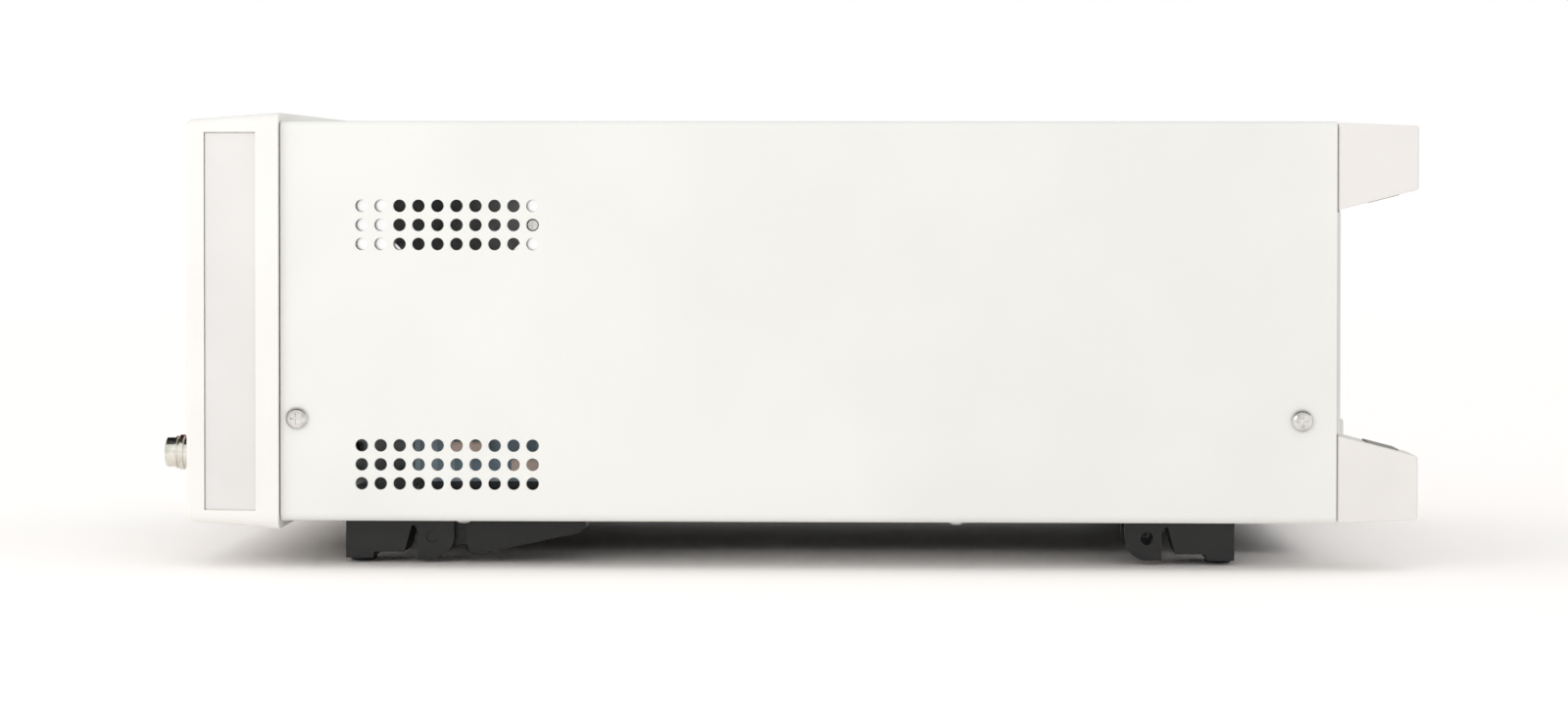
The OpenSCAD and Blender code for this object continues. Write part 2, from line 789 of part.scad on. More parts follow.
// ---------------------------------------------------------------- terminals on the front

// Insulating body of a shrouded socket, with the ring groove round its core.
module socket_body(x) {
    y0 = panel_y0 - socket_proud;
    difference() {
        turned(x, socket_z, y0) polygon([
            [core_r - 0.4, 0.6], [core_r, 1], [core_r, groove_len],
            [socket_r - shroud_wall, groove_len], [socket_r - shroud_wall, 0.6],
            [socket_r - shroud_wall + 0.6, 0], [socket_flange_r - 0.6, 0],
            [socket_flange_r, 0.6], [socket_flange_r, socket_proud],
            [socket_r, socket_proud], [socket_r, socket_len], [0, socket_len], [0, 0.6]
        ]);
        rod(x, socket_z, contact_r + running_fit / 2, y0 - lap, y0 + socket_len + lap);
    }
}

module red_sockets() {
    color("#B3282B") from_front() for (i = [3, 4]) socket_body(socket_xs[i]);
}

module black_sockets() {
    color("#262626") from_front() for (i = [0, 1]) socket_body(socket_xs[i]);
}

module earth_socket() {
    color("#4E8A3C") from_front() socket_body(socket_xs[2]);
}

// Turned brass tubes, one in each socket, with a solder tag at the back.
module socket_contacts() {
    y0 = panel_y0 - socket_proud + 1.6;
    y1 = panel_y0 - socket_proud + socket_len;
    color(nickel) from_front() for (x = socket_xs) {
        difference() {
            rod(x, socket_z, contact_r, y0, y1 + 1);
            rod(x, socket_z, contact_bore / 2, y0 - lap, y1 - 1.5);
        }
        translate([x - 1.5, y1 + 1, socket_z - 0.5]) cube([3, 5, 1]);
    }
}

// Hexagon nuts behind the panel for the sockets and the coaxial jack.
module panel_nuts() {
    color(nickel) from_front() {
        for (x = socket_xs) nut(x, socket_z, 9.2, socket_r + running_fit);
        nut(jack_x, jack_z, 8, jack_r + running_fit);
    }
}

module nut(x, z, r, hole_r) {
    translate([x, panel_y1, z]) rotate([-90, 0, 0]) difference() {
        cylinder(r = r, h = nut_t, $fn = 6);
        translate([0, 0, -lap]) cylinder(r = hole_r, h = nut_t + 2 * lap);
    }
}

// Bayonet barrel of the coaxial jack: two lugs, a thin ring, a collar and a flange against
// the panel.
module bnc_shell() {
    color(nickel) from_front() difference() {
        union() {
            turned(jack_x, jack_z, -jack_reach) polygon([
                [0, 0], [jack_r - 0.4, 0], [jack_r, 0.4], [jack_r, 3.4],
                [jack_ring_r, 3.4], [jack_ring_r, 3.8], [jack_r - 0.2, 3.8], [jack_r - 0.2, 4.7],
                [collar_r, 4.7], [collar_r, 5.9], [jack_r, 5.9], [jack_r, 11.4],
                [jack_flange_r - 0.4, 11.4], [jack_flange_r, 11.8],
                [jack_flange_r, jack_reach + panel_y0], [jack_r, jack_reach + panel_y0],
                [jack_r, jack_reach + panel_y1 + 5], [0, jack_reach + panel_y1 + 5]
            ]);
            bar(-jack_reach + lug_back, jack_z, lug_r,
                jack_x - jack_r - lug_reach, jack_x + jack_r + lug_reach);
        }
        rod(jack_x, jack_z, jack_r - jack_wall, -jack_reach - lap, -3);
        rod(jack_x, jack_z, 2.5, -4, panel_y1 + 5 + lap);
    }
}

// White insulator down the middle of the jack.
module bnc_insulator() {
    color("#F0EEE6") from_front() difference() {
        union() {
            rod(jack_x, jack_z, 2.45, -jack_reach + 2, panel_y1 + 6);
            rod(jack_x, jack_z, jack_r - jack_wall - running_fit, -4.6, -3);
        }
        rod(jack_x, jack_z, 1.15, -jack_reach, panel_y1 + 7);
    }
}

// Gilt centre contact, split by its bore at the front, with a tail at the back.
module bnc_contact() {
    color("#C8A24A") from_front() difference() {
        rod(jack_x, jack_z, 1.1, -jack_reach + 2.4, panel_y1 + 10);
        rod(jack_x, jack_z, 0.68, -jack_reach, -4);
    }
}

// ---------------------------------------------------------------- feet

// Side view of a front foot, from the rubber pad's boss to the hinge knuckle.
module foot_outline() {
    groove_y = hinge_y - 9.3;
    difference() {
        union() {
            polygon([
                [pad_y - 4.3, foot_z0], [pad_y + 4.3, foot_z0], [pad_y + 4.8, block_z0],
                [groove_y, block_z0], [hinge_y - knuckle_r + 2.3, foot_z0 + 1.2],
                [hinge_y - knuckle_r + 2.3, hinge_z], [hinge_y + knuckle_r, hinge_z],
                [hinge_y + knuckle_r, tray_z0], [pad_y - 4.3, tray_z0]
            ]);
            translate([hinge_y, hinge_z]) circle(knuckle_r);
            translate([hinge_y - knuckle_r + 2.3, foot_z0]) square([knuckle_r - 2.3, knuckle_r]);
        }
        polygon([
            [groove_y, block_z0 - lap], [groove_y + 2, foot_z0 - lap],
            [hinge_y - knuckle_r + 2.3, foot_z0 - lap], [hinge_y - knuckle_r + 2.3, hinge_z + 2],
            [hinge_y - knuckle_r + 1.1, hinge_z + 3.5], [groove_y + 2.6, hinge_z + 3.5]
        ]);
    }
}

// A moulded foot with a fork at one end for a tilt leg and a socket for its pad at the other.
module foot() {
    difference() {
        across_x(foot_x - foot_w / 2, foot_x + foot_w / 2) foot_outline();
        translate([foot_x - fork_w / 2, hinge_y - barrel_r - 0.6, 0])
            cube([fork_w, 3 * knuckle_r, tray_z0 + lap]);
        bar(hinge_y, hinge_z, pin_r + running_fit, foot_x - foot_w, foot_x + foot_w);
        translate([foot_x, pad_y, foot_z0 - lap])
            cylinder(r = spigot_r + running_fit, h = spigot_h + play + lap);
        for (sx = [-1, 1])
            translate([foot_x + sx * (foot_w / 4), pad_y + 9, block_z0 - lap])
                cube([6, 7, 14], center = true);
    }
}

// Puts a piece under the front corners and, turned round, under the rear corners.
module front_corners() {
    both_sides() children();
}

module rear_corners() {
    both_sides() translate([0, rear_mirror, 0]) mirror([0, 1, 0]) children();
}

module feet() {
    color(black_plastic) from_front() {
        front_corners() foot();
        rear_corners() foot();
    }
}

// Rubber discs, each with a spigot pushed up into its foot.
module foot_pads() {
    color("#3A3A3A") from_front() {
        front_corners() pad();
        rear_corners() pad();
    }
}

module pad() {
    translate([foot_x, pad_y, 0]) {
        rotate_extrude() polygon([
            [0, 0], [pad_d / 2 - 0.4, 0], [pad_d / 2, 0.4], [pad_d / 2, pad_h], [0, pad_h]
        ]);
        cylinder(r = spigot_r, h = pad_h + spigot_h);
    }
}

// Tilt leg folded back under the case, its barrel and pin in the foot's fork.
module tilt_leg() {
    neck = 10.9;
    tip = hinge_y + leg_len;
    top = tray_z0 - 1.5;
    across_x(foot_x - fork_w / 2 + near, foot_x + fork_w / 2 - near) {
        translate([hinge_y, hinge_z]) circle(barrel_r);
        polygon([
            [hinge_y, hinge_z - 3], [hinge_y + neck + 2, hinge_z - 3],
            [hinge_y + neck + 2, top], [hinge_y, hinge_z + barrel_r]
        ]);
    }
    across_x(foot_x - foot_w / 2 + 1, foot_x + foot_w / 2 - 1) difference() {
        polygon([
            [hinge_y + neck, hinge_z - 2.2], [hinge_y + neck + 0.8, hinge_z - 4.6],
            [hinge_y + neck + 2.9, hinge_z - 5.9],
            [tip - 2, hinge_z + 1.1], [tip, hinge_z + 2.6], [tip, top - 1.5], [tip - 1.5, top],
            [hinge_y + neck, top]
        ]);
        polygon([
            [hinge_y + neck + 8, hinge_z - 1.2], [tip - 6, hinge_z + 3.1],
            [tip - 6, top + lap], [hinge_y + neck + 8, top + lap]
        ]);
    }
    bar(hinge_y, hinge_z, pin_r, foot_x - foot_w / 2 + 0.5, foot_x + foot_w / 2 - 0.5);
    for (sx = [-1, 1])
        translate([foot_x + sx * (foot_w / 2 - 1.75) - 0.75, hinge_y + neck + 6, 0])
            across_x(0, 1.5) polygon([
                [0, hinge_z - 4], [leg_len - neck - 9, hinge_z + 2.1],
                [leg_len - neck - 9, top], [0, top]
            ]);
}

module tilt_leg_left() {
    color("#1D1D1D") from_front() mirror([1, 0, 0]) tilt_leg();
}

module tilt_leg_right() {
    color("#1D1D1D") from_front() tilt_leg();
}

// ---------------------------------------------------------------- rear bumpers and screws

// Side view of a top bumper: flat on top, sloping up underneath to its end.
module bumper_side() {
    z1 = cover_z1 - 0.4;
    y1 = bumper_y0 + bumper_d;
    polygon([
        [bumper_y0, z1 - bumper_h], [y1 - bumper_ease, z1 - bumper_h + 6.4],
        [y1, z1 - bumper_h + 6.4 + bumper_ease], [y1, z1 - 0.9 - bumper_ease],
        [y1 - bumper_ease, z1 - 0.9], [bumper_y0 + bumper_ease, z1], [bumper_y0, z1 - bumper_ease]
    ]);
}

// Plan of a right-hand bumper: flat outside, sloping in to its end.
module bumper_plan() {
    x1 = case_w / 2 - 0.4;
    y1 = bumper_y0 + bumper_d;
    polygon([
        [x1 - bumper_w, bumper_y0], [x1 - bumper_ease, bumper_y0], [x1, bumper_y0 + bumper_ease],
        [x1 - 0.9, y1 - bumper_ease], [x1 - 0.9 - bumper_ease, y1],
        [x1 - bumper_w + 6.4 + bumper_ease, y1], [x1 - bumper_w + 6.4, y1 - bumper_ease]
    ]);
}

// The right-hand top bumper, with a rebate for the panel's corner, a deep screw hole and a
// finger recess underneath.
module bumper() {
    difference() {
        intersection() {
            across_x(0, case_w) bumper_side();
            linear_extrude(cover_z1 + case_h) bumper_plan();
        }
        along_y(bumper_y0 - lap, rear_y1) rear_outline(play);
        rod(bumper_x, bumper_z, boss_screw_r + play, bumper_y0 - lap, bumper_y0 + bumper_d);
        rod(bumper_x, bumper_z, 4, bumper_seat, bumper_y0 + bumper_d + lap);
        translate([bumper_x - 6, bumper_y0 + 10.2, cover_z1 - 0.4 - bumper_h])
            cube([14, 10.5, 6.4]);
    }
}

// Screw positions of the four bumpers.
module bumper_points() {
    both_sides() upside() translate([bumper_x, 0, bumper_z]) children();
}

// Repeats a piece at the top and, turned over, at the bottom of the case.
module upside() {
    children();
    translate([0, 0, 2 * case_mid_z]) mirror([0, 0, 1]) children();
}

module rear_bumpers() {
    color(strip_grey) from_front() both_sides() upside() bumper();
}

// Plated screws that hold the cover's sides.
module side_screws() {
    color(nickel) from_front() both_sides() for (y = [screw_y0, screw_y1])
        translate([case_w / 2, y, side_screw_z]) rotate([0, 90, 0])
            pan_screw(3.5, 1.9, side_screw_r, sheet_t + side_gap + 2 * sheet_t + 1);
}

// Low domed screws up through the cover's bottom flanges.
module bottom_screws() {
    color("#D8D8D2") from_front() both_sides() for (y = bottom_screw_ys)
        translate([bottom_screw_x, y, cover_z0]) rotate([180, 0, 0])
            pan_screw(2.5, 1.1, bottom_screw_r, 2 * sheet_t + 1.5);
}

// Screws for the bezel's bosses and the brace, all inside the cover.
module inner_screws() {
    color(nickel) from_front() {
        boss_centres() translate([0, bulk_y + sheet_t, 0]) rotate([-90, 0, 0])
            pan_screw(boss_head_r, 1.7, boss_screw_r, 10);
        both_sides() translate([tray_w / 2, brace_y, brace_z]) rotate([0, 90, 0])
            pan_screw(brace_screw_r, 1.6, boss_screw_r, 2 * sheet_t + 1.5);
    }
}

module fan_corners() {
    for (sx = [-1, 1], sz = [-1, 1])
        translate([fan_x + sx * fan_hole, 0, fan_z + sz * fan_hole]) children();
}

// Screws on the rear: in the bumpers, at the panel's sides and through the fan guard.
module rear_screws() {
    color(nickel) from_front() {
        bumper_points() translate([0, bumper_seat, 0]) rotate([-90, 0, 0])
            pan_screw(3.2, 2, boss_screw_r, bumper_seat - rear_y0 + sheet_t + 2);
        rear_screw_points() translate([0, rear_y1, 0]) rotate([-90, 0, 0])
            pan_screw(2.7, 1.7, boss_screw_r, rear_t + sheet_t + 2);
        fan_corners() translate([0, rear_y1 + eye_t, 0]) rotate([-90, 0, 0])
            pan_screw(3, 1.8, 1.75, eye_t + rear_t + 8);
    }
}

// ---------------------------------------------------------------- fan

// Square frame with a round duct, four struts and the bearing boss.
module fan_frame() {
    color("#202022") from_front() difference() {
        union() {
            difference() {
                block(fan_x, fan_z, fan_w, fan_w, fan_y0, rear_y0, 4);
                rod(fan_x, fan_z, rotor_r + 1, fan_y0 - lap, rear_y0 + lap);
                fan_corners() rod(0, 0, 1.75 + running_fit, fan_y0 - lap, rear_y0 + lap);
            }
            rod(fan_x, fan_z, hub_r, fan_y0, fan_y0 + 3);
            for (a = [45:90:315])
                translate([fan_x, 0, fan_z]) rotate([0, a, 0])
                    translate([hub_r - 1, fan_y0, -1.5]) cube([rotor_r + 2 - hub_r, 3, 3]);
        }
        rod(fan_x, fan_z, pin_r + running_fit, fan_y0 - lap, fan_y0 + 3 + lap);
    }
}

// Hub with seven slanted blades and its shaft in the frame's bearing.
module fan_rotor() {
    y0 = fan_y0 + 3.5;
    y1 = rear_y0 - 1;
    color("#2A2A2C") from_front() {
        rod(fan_x, fan_z, pin_r, fan_y0 + 0.3, y0);
        rod(fan_x, fan_z, hub_r, y0, y1);
        intersection() {
            rod(fan_x, fan_z, rotor_r, y0, y1);
            for (i = [0:6])
                translate([fan_x, (y0 + y1) / 2, fan_z]) rotate([0, i * 360 / 7, 0])
                    rotate([38, 0, 0]) translate([hub_r - 1.5, -fan_d / 2 + 3, -0.8])
                        cube([rotor_r, fan_d - 6, 1.6]);
        }
    }
}

// Wire guard: rings welded to four spokes, with an eye at each corner.
module fan_guard() {
    wire_r = guard_t / 2;
    eye_r = 3.6;
    ring_r0 = 9;
    color(nickel) from_front() difference() {
        union() {
            for (r = [ring_r0:7.2:fan_w / 2 - 1])
                turned(fan_x, fan_z, rear_y1 + 2.7 * wire_r) translate([r, 0]) circle(wire_r);
            for (a = [45:90:315])
                translate([fan_x, rear_y1 + wire_r + 0.1, fan_z]) rotate([0, a, 0])
                    bar(0, 0, wire_r, ring_r0 - 0.5, fan_hole * sqrt(2) - eye_r + 0.5);
            fan_corners() rod(0, 0, eye_r, rear_y1, rear_y1 + eye_t);
        }
        fan_corners() rod(0, 0, 1.75 + running_fit, rear_y1 - lap, rear_y1 + 2 * lap);
    }
}

// ---------------------------------------------------------------- inside

// Ring transformer wound with tape, standing on the chassis floor.
module transformer() {
    hole_r = 16;
    ease = 7;
    color("#C7A24B") from_front() translate([ring_x, ring_y, tray_z1 + 1.5]) rotate_extrude() {
        translate([hole_r, ease]) square([ring_r - hole_r, ring_h - 2 * ease]);
        translate([hole_r + ease, 0]) square([ring_r - hole_r - 2 * ease, ring_h]);
        for (x = [hole_r + ease, ring_r - ease], y = [ease, ring_h - ease])
            translate([x, y]) circle(ease);
    }
}

// Rubber discs, a dished plate and the long bolt that clamp the ring to the floor.
module transformer_clamp() {
    color("#8A8D90") from_front() translate([ring_x, ring_y, tray_z1]) {
        cylinder(r = ring_r - 12, h = 1.5);
        translate([0, 0, 1.5]) cylinder(r = 3, h = ring_h + 7);
        translate([0, 0, 1.5 + ring_h]) cylinder(r = 30, h = 2.5);
        translate([0, 0, 1.5 + ring_h + 2.5]) cylinder(r = 6, h = 3.2, $fn = 6);
    }
}

// Finned aluminium extrusion standing on the main board.
module heatsink() {
    x0 = -board_x + 6;
    y0 = board_y0 + 45;
    len = 80;
    tall = 52;
    fin_t = 2;
    color(aluminium) from_front() translate([x0, y0, board_z1]) {
        translate([22, 0, 0]) cube([5, len, tall]);
        for (i = [0:6])
            translate([0, 0, i * (tall - fin_t) / 6]) cube([22 + lap, len, fin_t]);
    }
}

// Four flat transistors against the heatsink, with their legs down in the board.
module power_transistors() {
    x0 = -board_x + 6 + 27;
    y0 = board_y0 + 45;
    color("#1F1F20") from_front() for (i = [0:3])
        translate([x0, y0 + 5 + i * 19, board_z1]) {
            translate([0, 0, 12]) cube([5, 15.6, 20]);
            for (j = [0:2])
                translate([2, 1.8 + j * 5.4, 0]) cube([0.8, 1.2, 12 + lap]);
        }
}

// Main circuit board with its smaller parts.
module main_board() {
    color(board_green) from_front() {
        translate([-board_x, board_y0, board_z0]) cube([2 * board_x, board_y1 - board_y0, board_t]);
        translate([upright_x - 2, board_y0 + 4, board_z1])
            cube([5, upright_y1 - board_y0 - 8, upright_z0 - board_z1]);
        translate([ribbon_x - 14, board_y0 + 2, board_z1]) cube([28, 6, 8]);
        for (i = [0:2])
            translate([-50 + i * 24, board_y0 + 30, board_z1]) cube([18, 28, 15]);
        translate([-20, board_y1 - 46, board_z1]) cube([30, 30, 22]);
    }
}

// Threaded pillars between the chassis floor and the main board.
module board_standoffs() {
    color("#C9B36A") from_front()
        for (x = [-board_x + 5, 0, board_x - 5], y = [board_y0 + 6, board_y1 - 6])
            translate([x, y, tray_z1]) cylinder(r = 3.2, h = board_lift);
}

// Reservoir capacitors in a row on the main board.
module capacitors() {
    color("#2C3550") from_front() for (i = [0:1], j = [0:2])
        translate([38 + i * (2 * can_r + 2), board_y0 + 52 + j * (2 * can_r + 4), board_z1])
            rotate_extrude() polygon([
                [0, 0], [can_r, 0], [can_r, can_h - 1], [can_r - 1, can_h], [can_r - 2, can_h - 0.6],
                [0, can_h - 0.6]
            ]);
}

// Upright board by the right-hand side, with film capacitors and a coil facing the vents.
module output_board() {
    face = upright_x + board_t;
    z0 = upright_z0;
    color(board_green) from_front() {
        translate([upright_x, board_y0, z0]) cube([board_t, upright_y1 - board_y0, upright_h]);
        for (p = [[12, 6.5, 12, 5], [31, 2, 14, 5], [50, 18, 12, 7], [66, 8, 16, 10], [20, 28, 16, 12]])
            translate([face, board_y0 + p[0], z0 + p[1]]) cube([3.4, p[2], p[3]]);
    }
}

// Flat ribbon from the keyboard board, through the bulkhead and down to the main board.
module ribbon_cable() {
    w = 26;
    t = 1;
    y0 = keys_y + board_t + 5;
    y2 = board_y0 + 5;
    top = ribbon_z + t / 2;
    low = board_z1 + 8;
    color("#9AA0A6") from_front() across_x(ribbon_x - w / 2, ribbon_x + w / 2) difference() {
        union() {
            translate([y0, top - t]) square([y2 - 8 - y0, t]);
            translate([y2 - 8, top - 8]) circle(8);
            translate([y2 - t, low]) square([t, top - 8 - low]);
        }
        translate([y2 - 8, top - 8]) circle(8 - t);
        translate([y2 - 16 - lap, top - 16 - lap]) square([8 + lap, 16 + lap - t]);
        translate([y2 - 16 - lap, top - 16 - lap]) square([16 + lap - t, 8 + lap]);
    }
}

// ---------------------------------------------------------------- rear connectors

// Mains inlet with a shrouded cavity above and a slot for the fuse drawer below.
module inlet_housing() {
    color("#1E1E1E") from_front() difference() {
        union() {
            block(inlet_x, inlet_z, inlet_w, inlet_h, rear_y1 - inlet_depth, rear_y1, 1);
            block(inlet_x, inlet_z, inlet_w + 5, inlet_h + 5, rear_y1, rear_y1 + 2.5, 2);
        }
        along_y(rear_y1 + 2.5 - cavity_depth, rear_y1 + 2.5 + lap)
            translate([inlet_x, cavity_z]) polygon([
                [-cavity_w / 2, -cavity_h / 2], [cavity_w / 2, -cavity_h / 2],
                [cavity_w / 2, cavity_h / 2 - 5], [cavity_w / 2 - 5, cavity_h / 2],
                [-cavity_w / 2 + 5, cavity_h / 2], [-cavity_w / 2, cavity_h / 2 - 5]
            ]);
        block(inlet_x, drawer_z, drawer_w + 2 * near, drawer_h + 2 * near,
            rear_y1 + 2.5 - drawer_len - 2 * near, rear_y1 + 2.5 + lap, 0.6);
        for (p = blade_places)
            block(inlet_x + p[0], cavity_z + p[1], p[2] + running_fit, p[3] + running_fit,
                rear_y1 - inlet_depth - lap, rear_y1 + 2.5 - cavity_depth + lap, 0.4);
    }
}

// Three flat pins of the inlet, with tags at the back.
module inlet_blades() {
    color(nickel) from_front() for (p = blade_places)
        block(inlet_x + p[0], cavity_z + p[1], p[2], p[3],
            rear_y1 - inlet_depth - 6, rear_y1 + 2.5 - 2, 0.4);
}

// Fuse carrier that pulls out to the rear, with a finger lip.
module fuse_drawer() {
    y1 = rear_y1 + 2.5;
    color("#2A2A2A") from_front() difference() {
        union() {
            block(inlet_x, drawer_z, drawer_w, drawer_h, y1 - drawer_len, y1 + 0.6, 0.6);
            block(inlet_x, drawer_z, drawer_w + 1.6, drawer_h + 1.6, y1 + near, y1 + 1.8, 0.8);
        }
        block(inlet_x, drawer_z, 9, 3, y1 + 0.7, y1 + 3, 0.6);
        translate([inlet_x - 7, y1 - drawer_len + 2, drawer_z - 1.5]) cube([14, drawer_len - 6, 10]);
    }
}

// Plug-in terminal block with a screw over each of its six entries.
module rear_terminals() {
    ways = 6;
    pitch = 7.5;
    y1 = rear_y1 + 5;
    color("#2E6B43") from_front() difference() {
        union() {
            block(terminal_x, terminal_z, terminal_w, terminal_h, rear_y0 - 10, y1, 0.6);
            block(terminal_x, terminal_z, terminal_w + 3, terminal_h + 3, rear_y1, rear_y1 + 1, 1);
        }
        for (i = [0:ways - 1]) {
            x = terminal_x + (i - (ways - 1) / 2) * pitch;
            block(x, terminal_z - 2.6, 3.6, 3.4, y1 - 8, y1 + lap, 0.4);
            rod(x, terminal_z + 3.6, 1.9, y1 - 3, y1 + lap);
        }
    }
}

// Shielded data sockets, each a plated shell round a cavity with a contact tongue.
module data_ports() {
    wall = 1.2;
    color(bare_steel) from_front() for (x = port_xs) {
        difference() {
            block(x, port_z, port_w, port_h, rear_y1 - port_d, rear_y1 + 1, 0.6);
            block(x, port_z, port_w - 2 * wall, port_h - 2 * wall,
                rear_y1 - port_d + 3, rear_y1 + 1 + lap, 0.4);
        }
        translate([x - 4, rear_y1 - port_d + 2, port_z - 1.5]) cube([8, 8, 3]);
    }
}

cover();
chassis();
front_bulkhead();
cross_brace();
rear_panel();
bezel();
bezel_side_strips();
front_panel();
display_window();
display_module();
keyboard_board();
encoder_body();
encoder_shaft();
adjust_knob();
bnc_shell();
bnc_insulator();
bnc_contact();
panel_nuts();
red_sockets();
black_sockets();
earth_socket();
socket_contacts();
power_switch();
feet();
foot_pads();
tilt_leg_left();
tilt_leg_right();
rear_bumpers();
side_screws();
bottom_screws();
inner_screws();
rear_screws();
fan_frame();
fan_rotor();
fan_guard();
transformer();
transformer_clamp();
heatsink();
power_transistors();
main_board();
board_standoffs();
capacitors();
output_board();
ribbon_cable();
inlet_housing();
inlet_blades();
fuse_drawer();
rear_terminals();
data_ports();
output_key();
power_button();
for (i = [0:8])
    function_key(i);
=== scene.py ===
import math

import bmesh
import bpy
from mathutils import Matrix, Vector


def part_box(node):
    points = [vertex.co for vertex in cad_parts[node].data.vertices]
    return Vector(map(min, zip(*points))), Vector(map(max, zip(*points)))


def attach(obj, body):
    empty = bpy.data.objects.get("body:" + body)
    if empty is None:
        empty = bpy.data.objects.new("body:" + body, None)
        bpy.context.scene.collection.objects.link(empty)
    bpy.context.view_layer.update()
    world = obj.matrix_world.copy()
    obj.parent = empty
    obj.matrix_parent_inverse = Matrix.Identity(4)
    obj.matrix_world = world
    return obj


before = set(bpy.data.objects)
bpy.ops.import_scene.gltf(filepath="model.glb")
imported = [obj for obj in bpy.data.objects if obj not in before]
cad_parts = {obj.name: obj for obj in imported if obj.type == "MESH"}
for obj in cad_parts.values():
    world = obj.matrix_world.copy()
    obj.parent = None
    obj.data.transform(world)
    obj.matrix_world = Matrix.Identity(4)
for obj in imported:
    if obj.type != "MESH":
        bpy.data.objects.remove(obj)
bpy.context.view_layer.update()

MM = 0.001

# ---------------------------------------------------------------- chassis, bulkhead and brace
# Mild steel sheet, punched, folded and then zinc plated. The plating is a cool grey metal
# with a soft cloudy bloom and faint rolling lines along the sheet.


def linear(code):
    """The linear colour of an sRGB hex value."""
    parts = [int(code[i:i + 2], 16) / 255 for i in (1, 3, 5)]
    return [c / 12.92 if c <= 0.04045 else ((c + 0.055) / 1.055) ** 2.4 for c in parts] + [1.0]


def add(tree, kind, sockets=None, **settings):
    """Adds a shader node: settings are its properties, sockets its inputs' values or links."""
    node = tree.nodes.new("ShaderNode" + kind)
    for name, value in settings.items():
        setattr(node, name, value)
    for name, value in (sockets or {}).items():
        if isinstance(value, bpy.types.NodeSocket):
            tree.links.new(value, node.inputs[name])
        else:
            node.inputs[name].default_value = value
    return node


def new_material(name):
    """An empty node material, its tree and the place on the object that patterns read."""
    material = bpy.data.materials.new(name)
    material.use_nodes = True
    material.node_tree.nodes.clear()
    return material, material.node_tree, add(material.node_tree, "TexCoord").outputs["Object"]


def surface(tree, **sockets):
    """A principled surface sent to the material's output; underscores stand for spaces."""
    named = {name.replace("_", " "): value for name, value in sockets.items()}
    add(tree, "OutputMaterial", {"Surface": add(tree, "BsdfPrincipled", named).outputs[0]})


def two_tones(tree, factor, dark, light, low=0.35, high=0.65):
    """A colour that runs between two tones as a pattern goes from low to high."""
    share = add(tree, "MapRange", {"Value": factor, "From Min": low, "From Max": high})
    tone = add(tree, "Mix", {0: share.outputs[0], 6: linear(dark), 7: linear(light)}, data_type="RGBA")
    return tone.outputs[2]


def dress(material, *nodes, round_mm=0.0, segments=2, angle=35):
    """Gives CAD nodes a material, and eases the edges that are sharper than an angle in degrees."""
    for name in nodes:
        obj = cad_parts[name]
        obj.data.materials.clear()
        obj.data.materials.append(material)
        if round_mm:
            weld = obj.modifiers.new("weld", "WELD")
            weld.merge_threshold = 0.004 * MM
            bevel = obj.modifiers.new("eased_edges", "BEVEL")
            bevel.width = round_mm * MM
            bevel.segments = segments
            bevel.limit_method = "ANGLE"
            bevel.angle_limit = math.radians(angle)
            bevel.harden_normals = True


def zinc_plate():
    """A cool grey metal, cloudy in patches and finely lined along the sheet."""
    material, tree, place = new_material("zinc_plated_steel")
    cloud = add(tree, "TexNoise", {"Vector": place, "Scale": 1 / (18 * MM), "Detail": 4.0})
    across, down_sheet = 1 / (0.4 * MM), 1 / (40 * MM)
    along = add(tree, "Mapping", {"Vector": place, "Scale": (across, down_sheet, across)})
    lines = add(tree, "TexNoise", {"Vector": along.outputs[0], "Scale": 1.0, "Detail": 2.0})
    rough = add(tree, "MapRange", {"Value": cloud.outputs["Fac"], "To Min": 0.16, "To Max": 0.3})
    bump = add(tree, "Bump", {"Height": lines.outputs["Fac"], "Strength": 0.25, "Distance": 0.02 * MM})
    surface(tree, Base_Color=two_tones(tree, cloud.outputs["Fac"], "#F6F8F8", "#FFFFFF", 0.3, 0.7),
            Metallic=1.0, Roughness=rough.outputs[0], Normal=bump.outputs[0])
    return material


zinc = zinc_plate()
dress(zinc, "chassis", "front_bulkhead", "cross_brace", "transformer_clamp", "encoder_body")

# ---------------------------------------------------------------- rear panel
# The same sheet, powder coated. Baked powder is a hard satin film with a fine orange peel
# about a millimetre across and a barely uneven tone.


def powder_coat(name, dark, light):
    """A hard satin film of baked powder: fine orange peel over a barely uneven tone."""
    material, tree, place = new_material(name)
    rough = 0.42
    peel_mm = 0.9
    tone = add(tree, "TexNoise", {"Vector": place, "Scale": 1 / (70 * MM), "Detail": 2.0})
    peel = add(tree, "TexNoise", {"Vector": place, "Scale": 1 / (peel_mm * MM), "Detail": 1.0})
    spread = add(tree, "MapRange", {
        "Value": peel.outputs["Fac"], "To Min": rough - 0.05, "To Max": rough + 0.06,
    })
    bump = add(tree, "Bump", {"Height": peel.outputs["Fac"], "Strength": 0.35, "Distance": 0.03 * MM})
    surface(tree, Base_Color=two_tones(tree, tone.outputs["Fac"], dark, light),
            Roughness=spread.outputs[0], Normal=bump.outputs[0])
    return material


rear_paint = powder_coat("rear_panel_powder_coat", "#CFCFCD", "#D5D5D3")
dress(rear_paint, "rear_panel")

# ---------------------------------------------------------------- circuit boards
# Glass fibre boards, 1.6 mm thick, under a blue-grey solder mask. The mask is glossy, and
# the copper tracks under it show as lighter stepped lines with tinned pads.


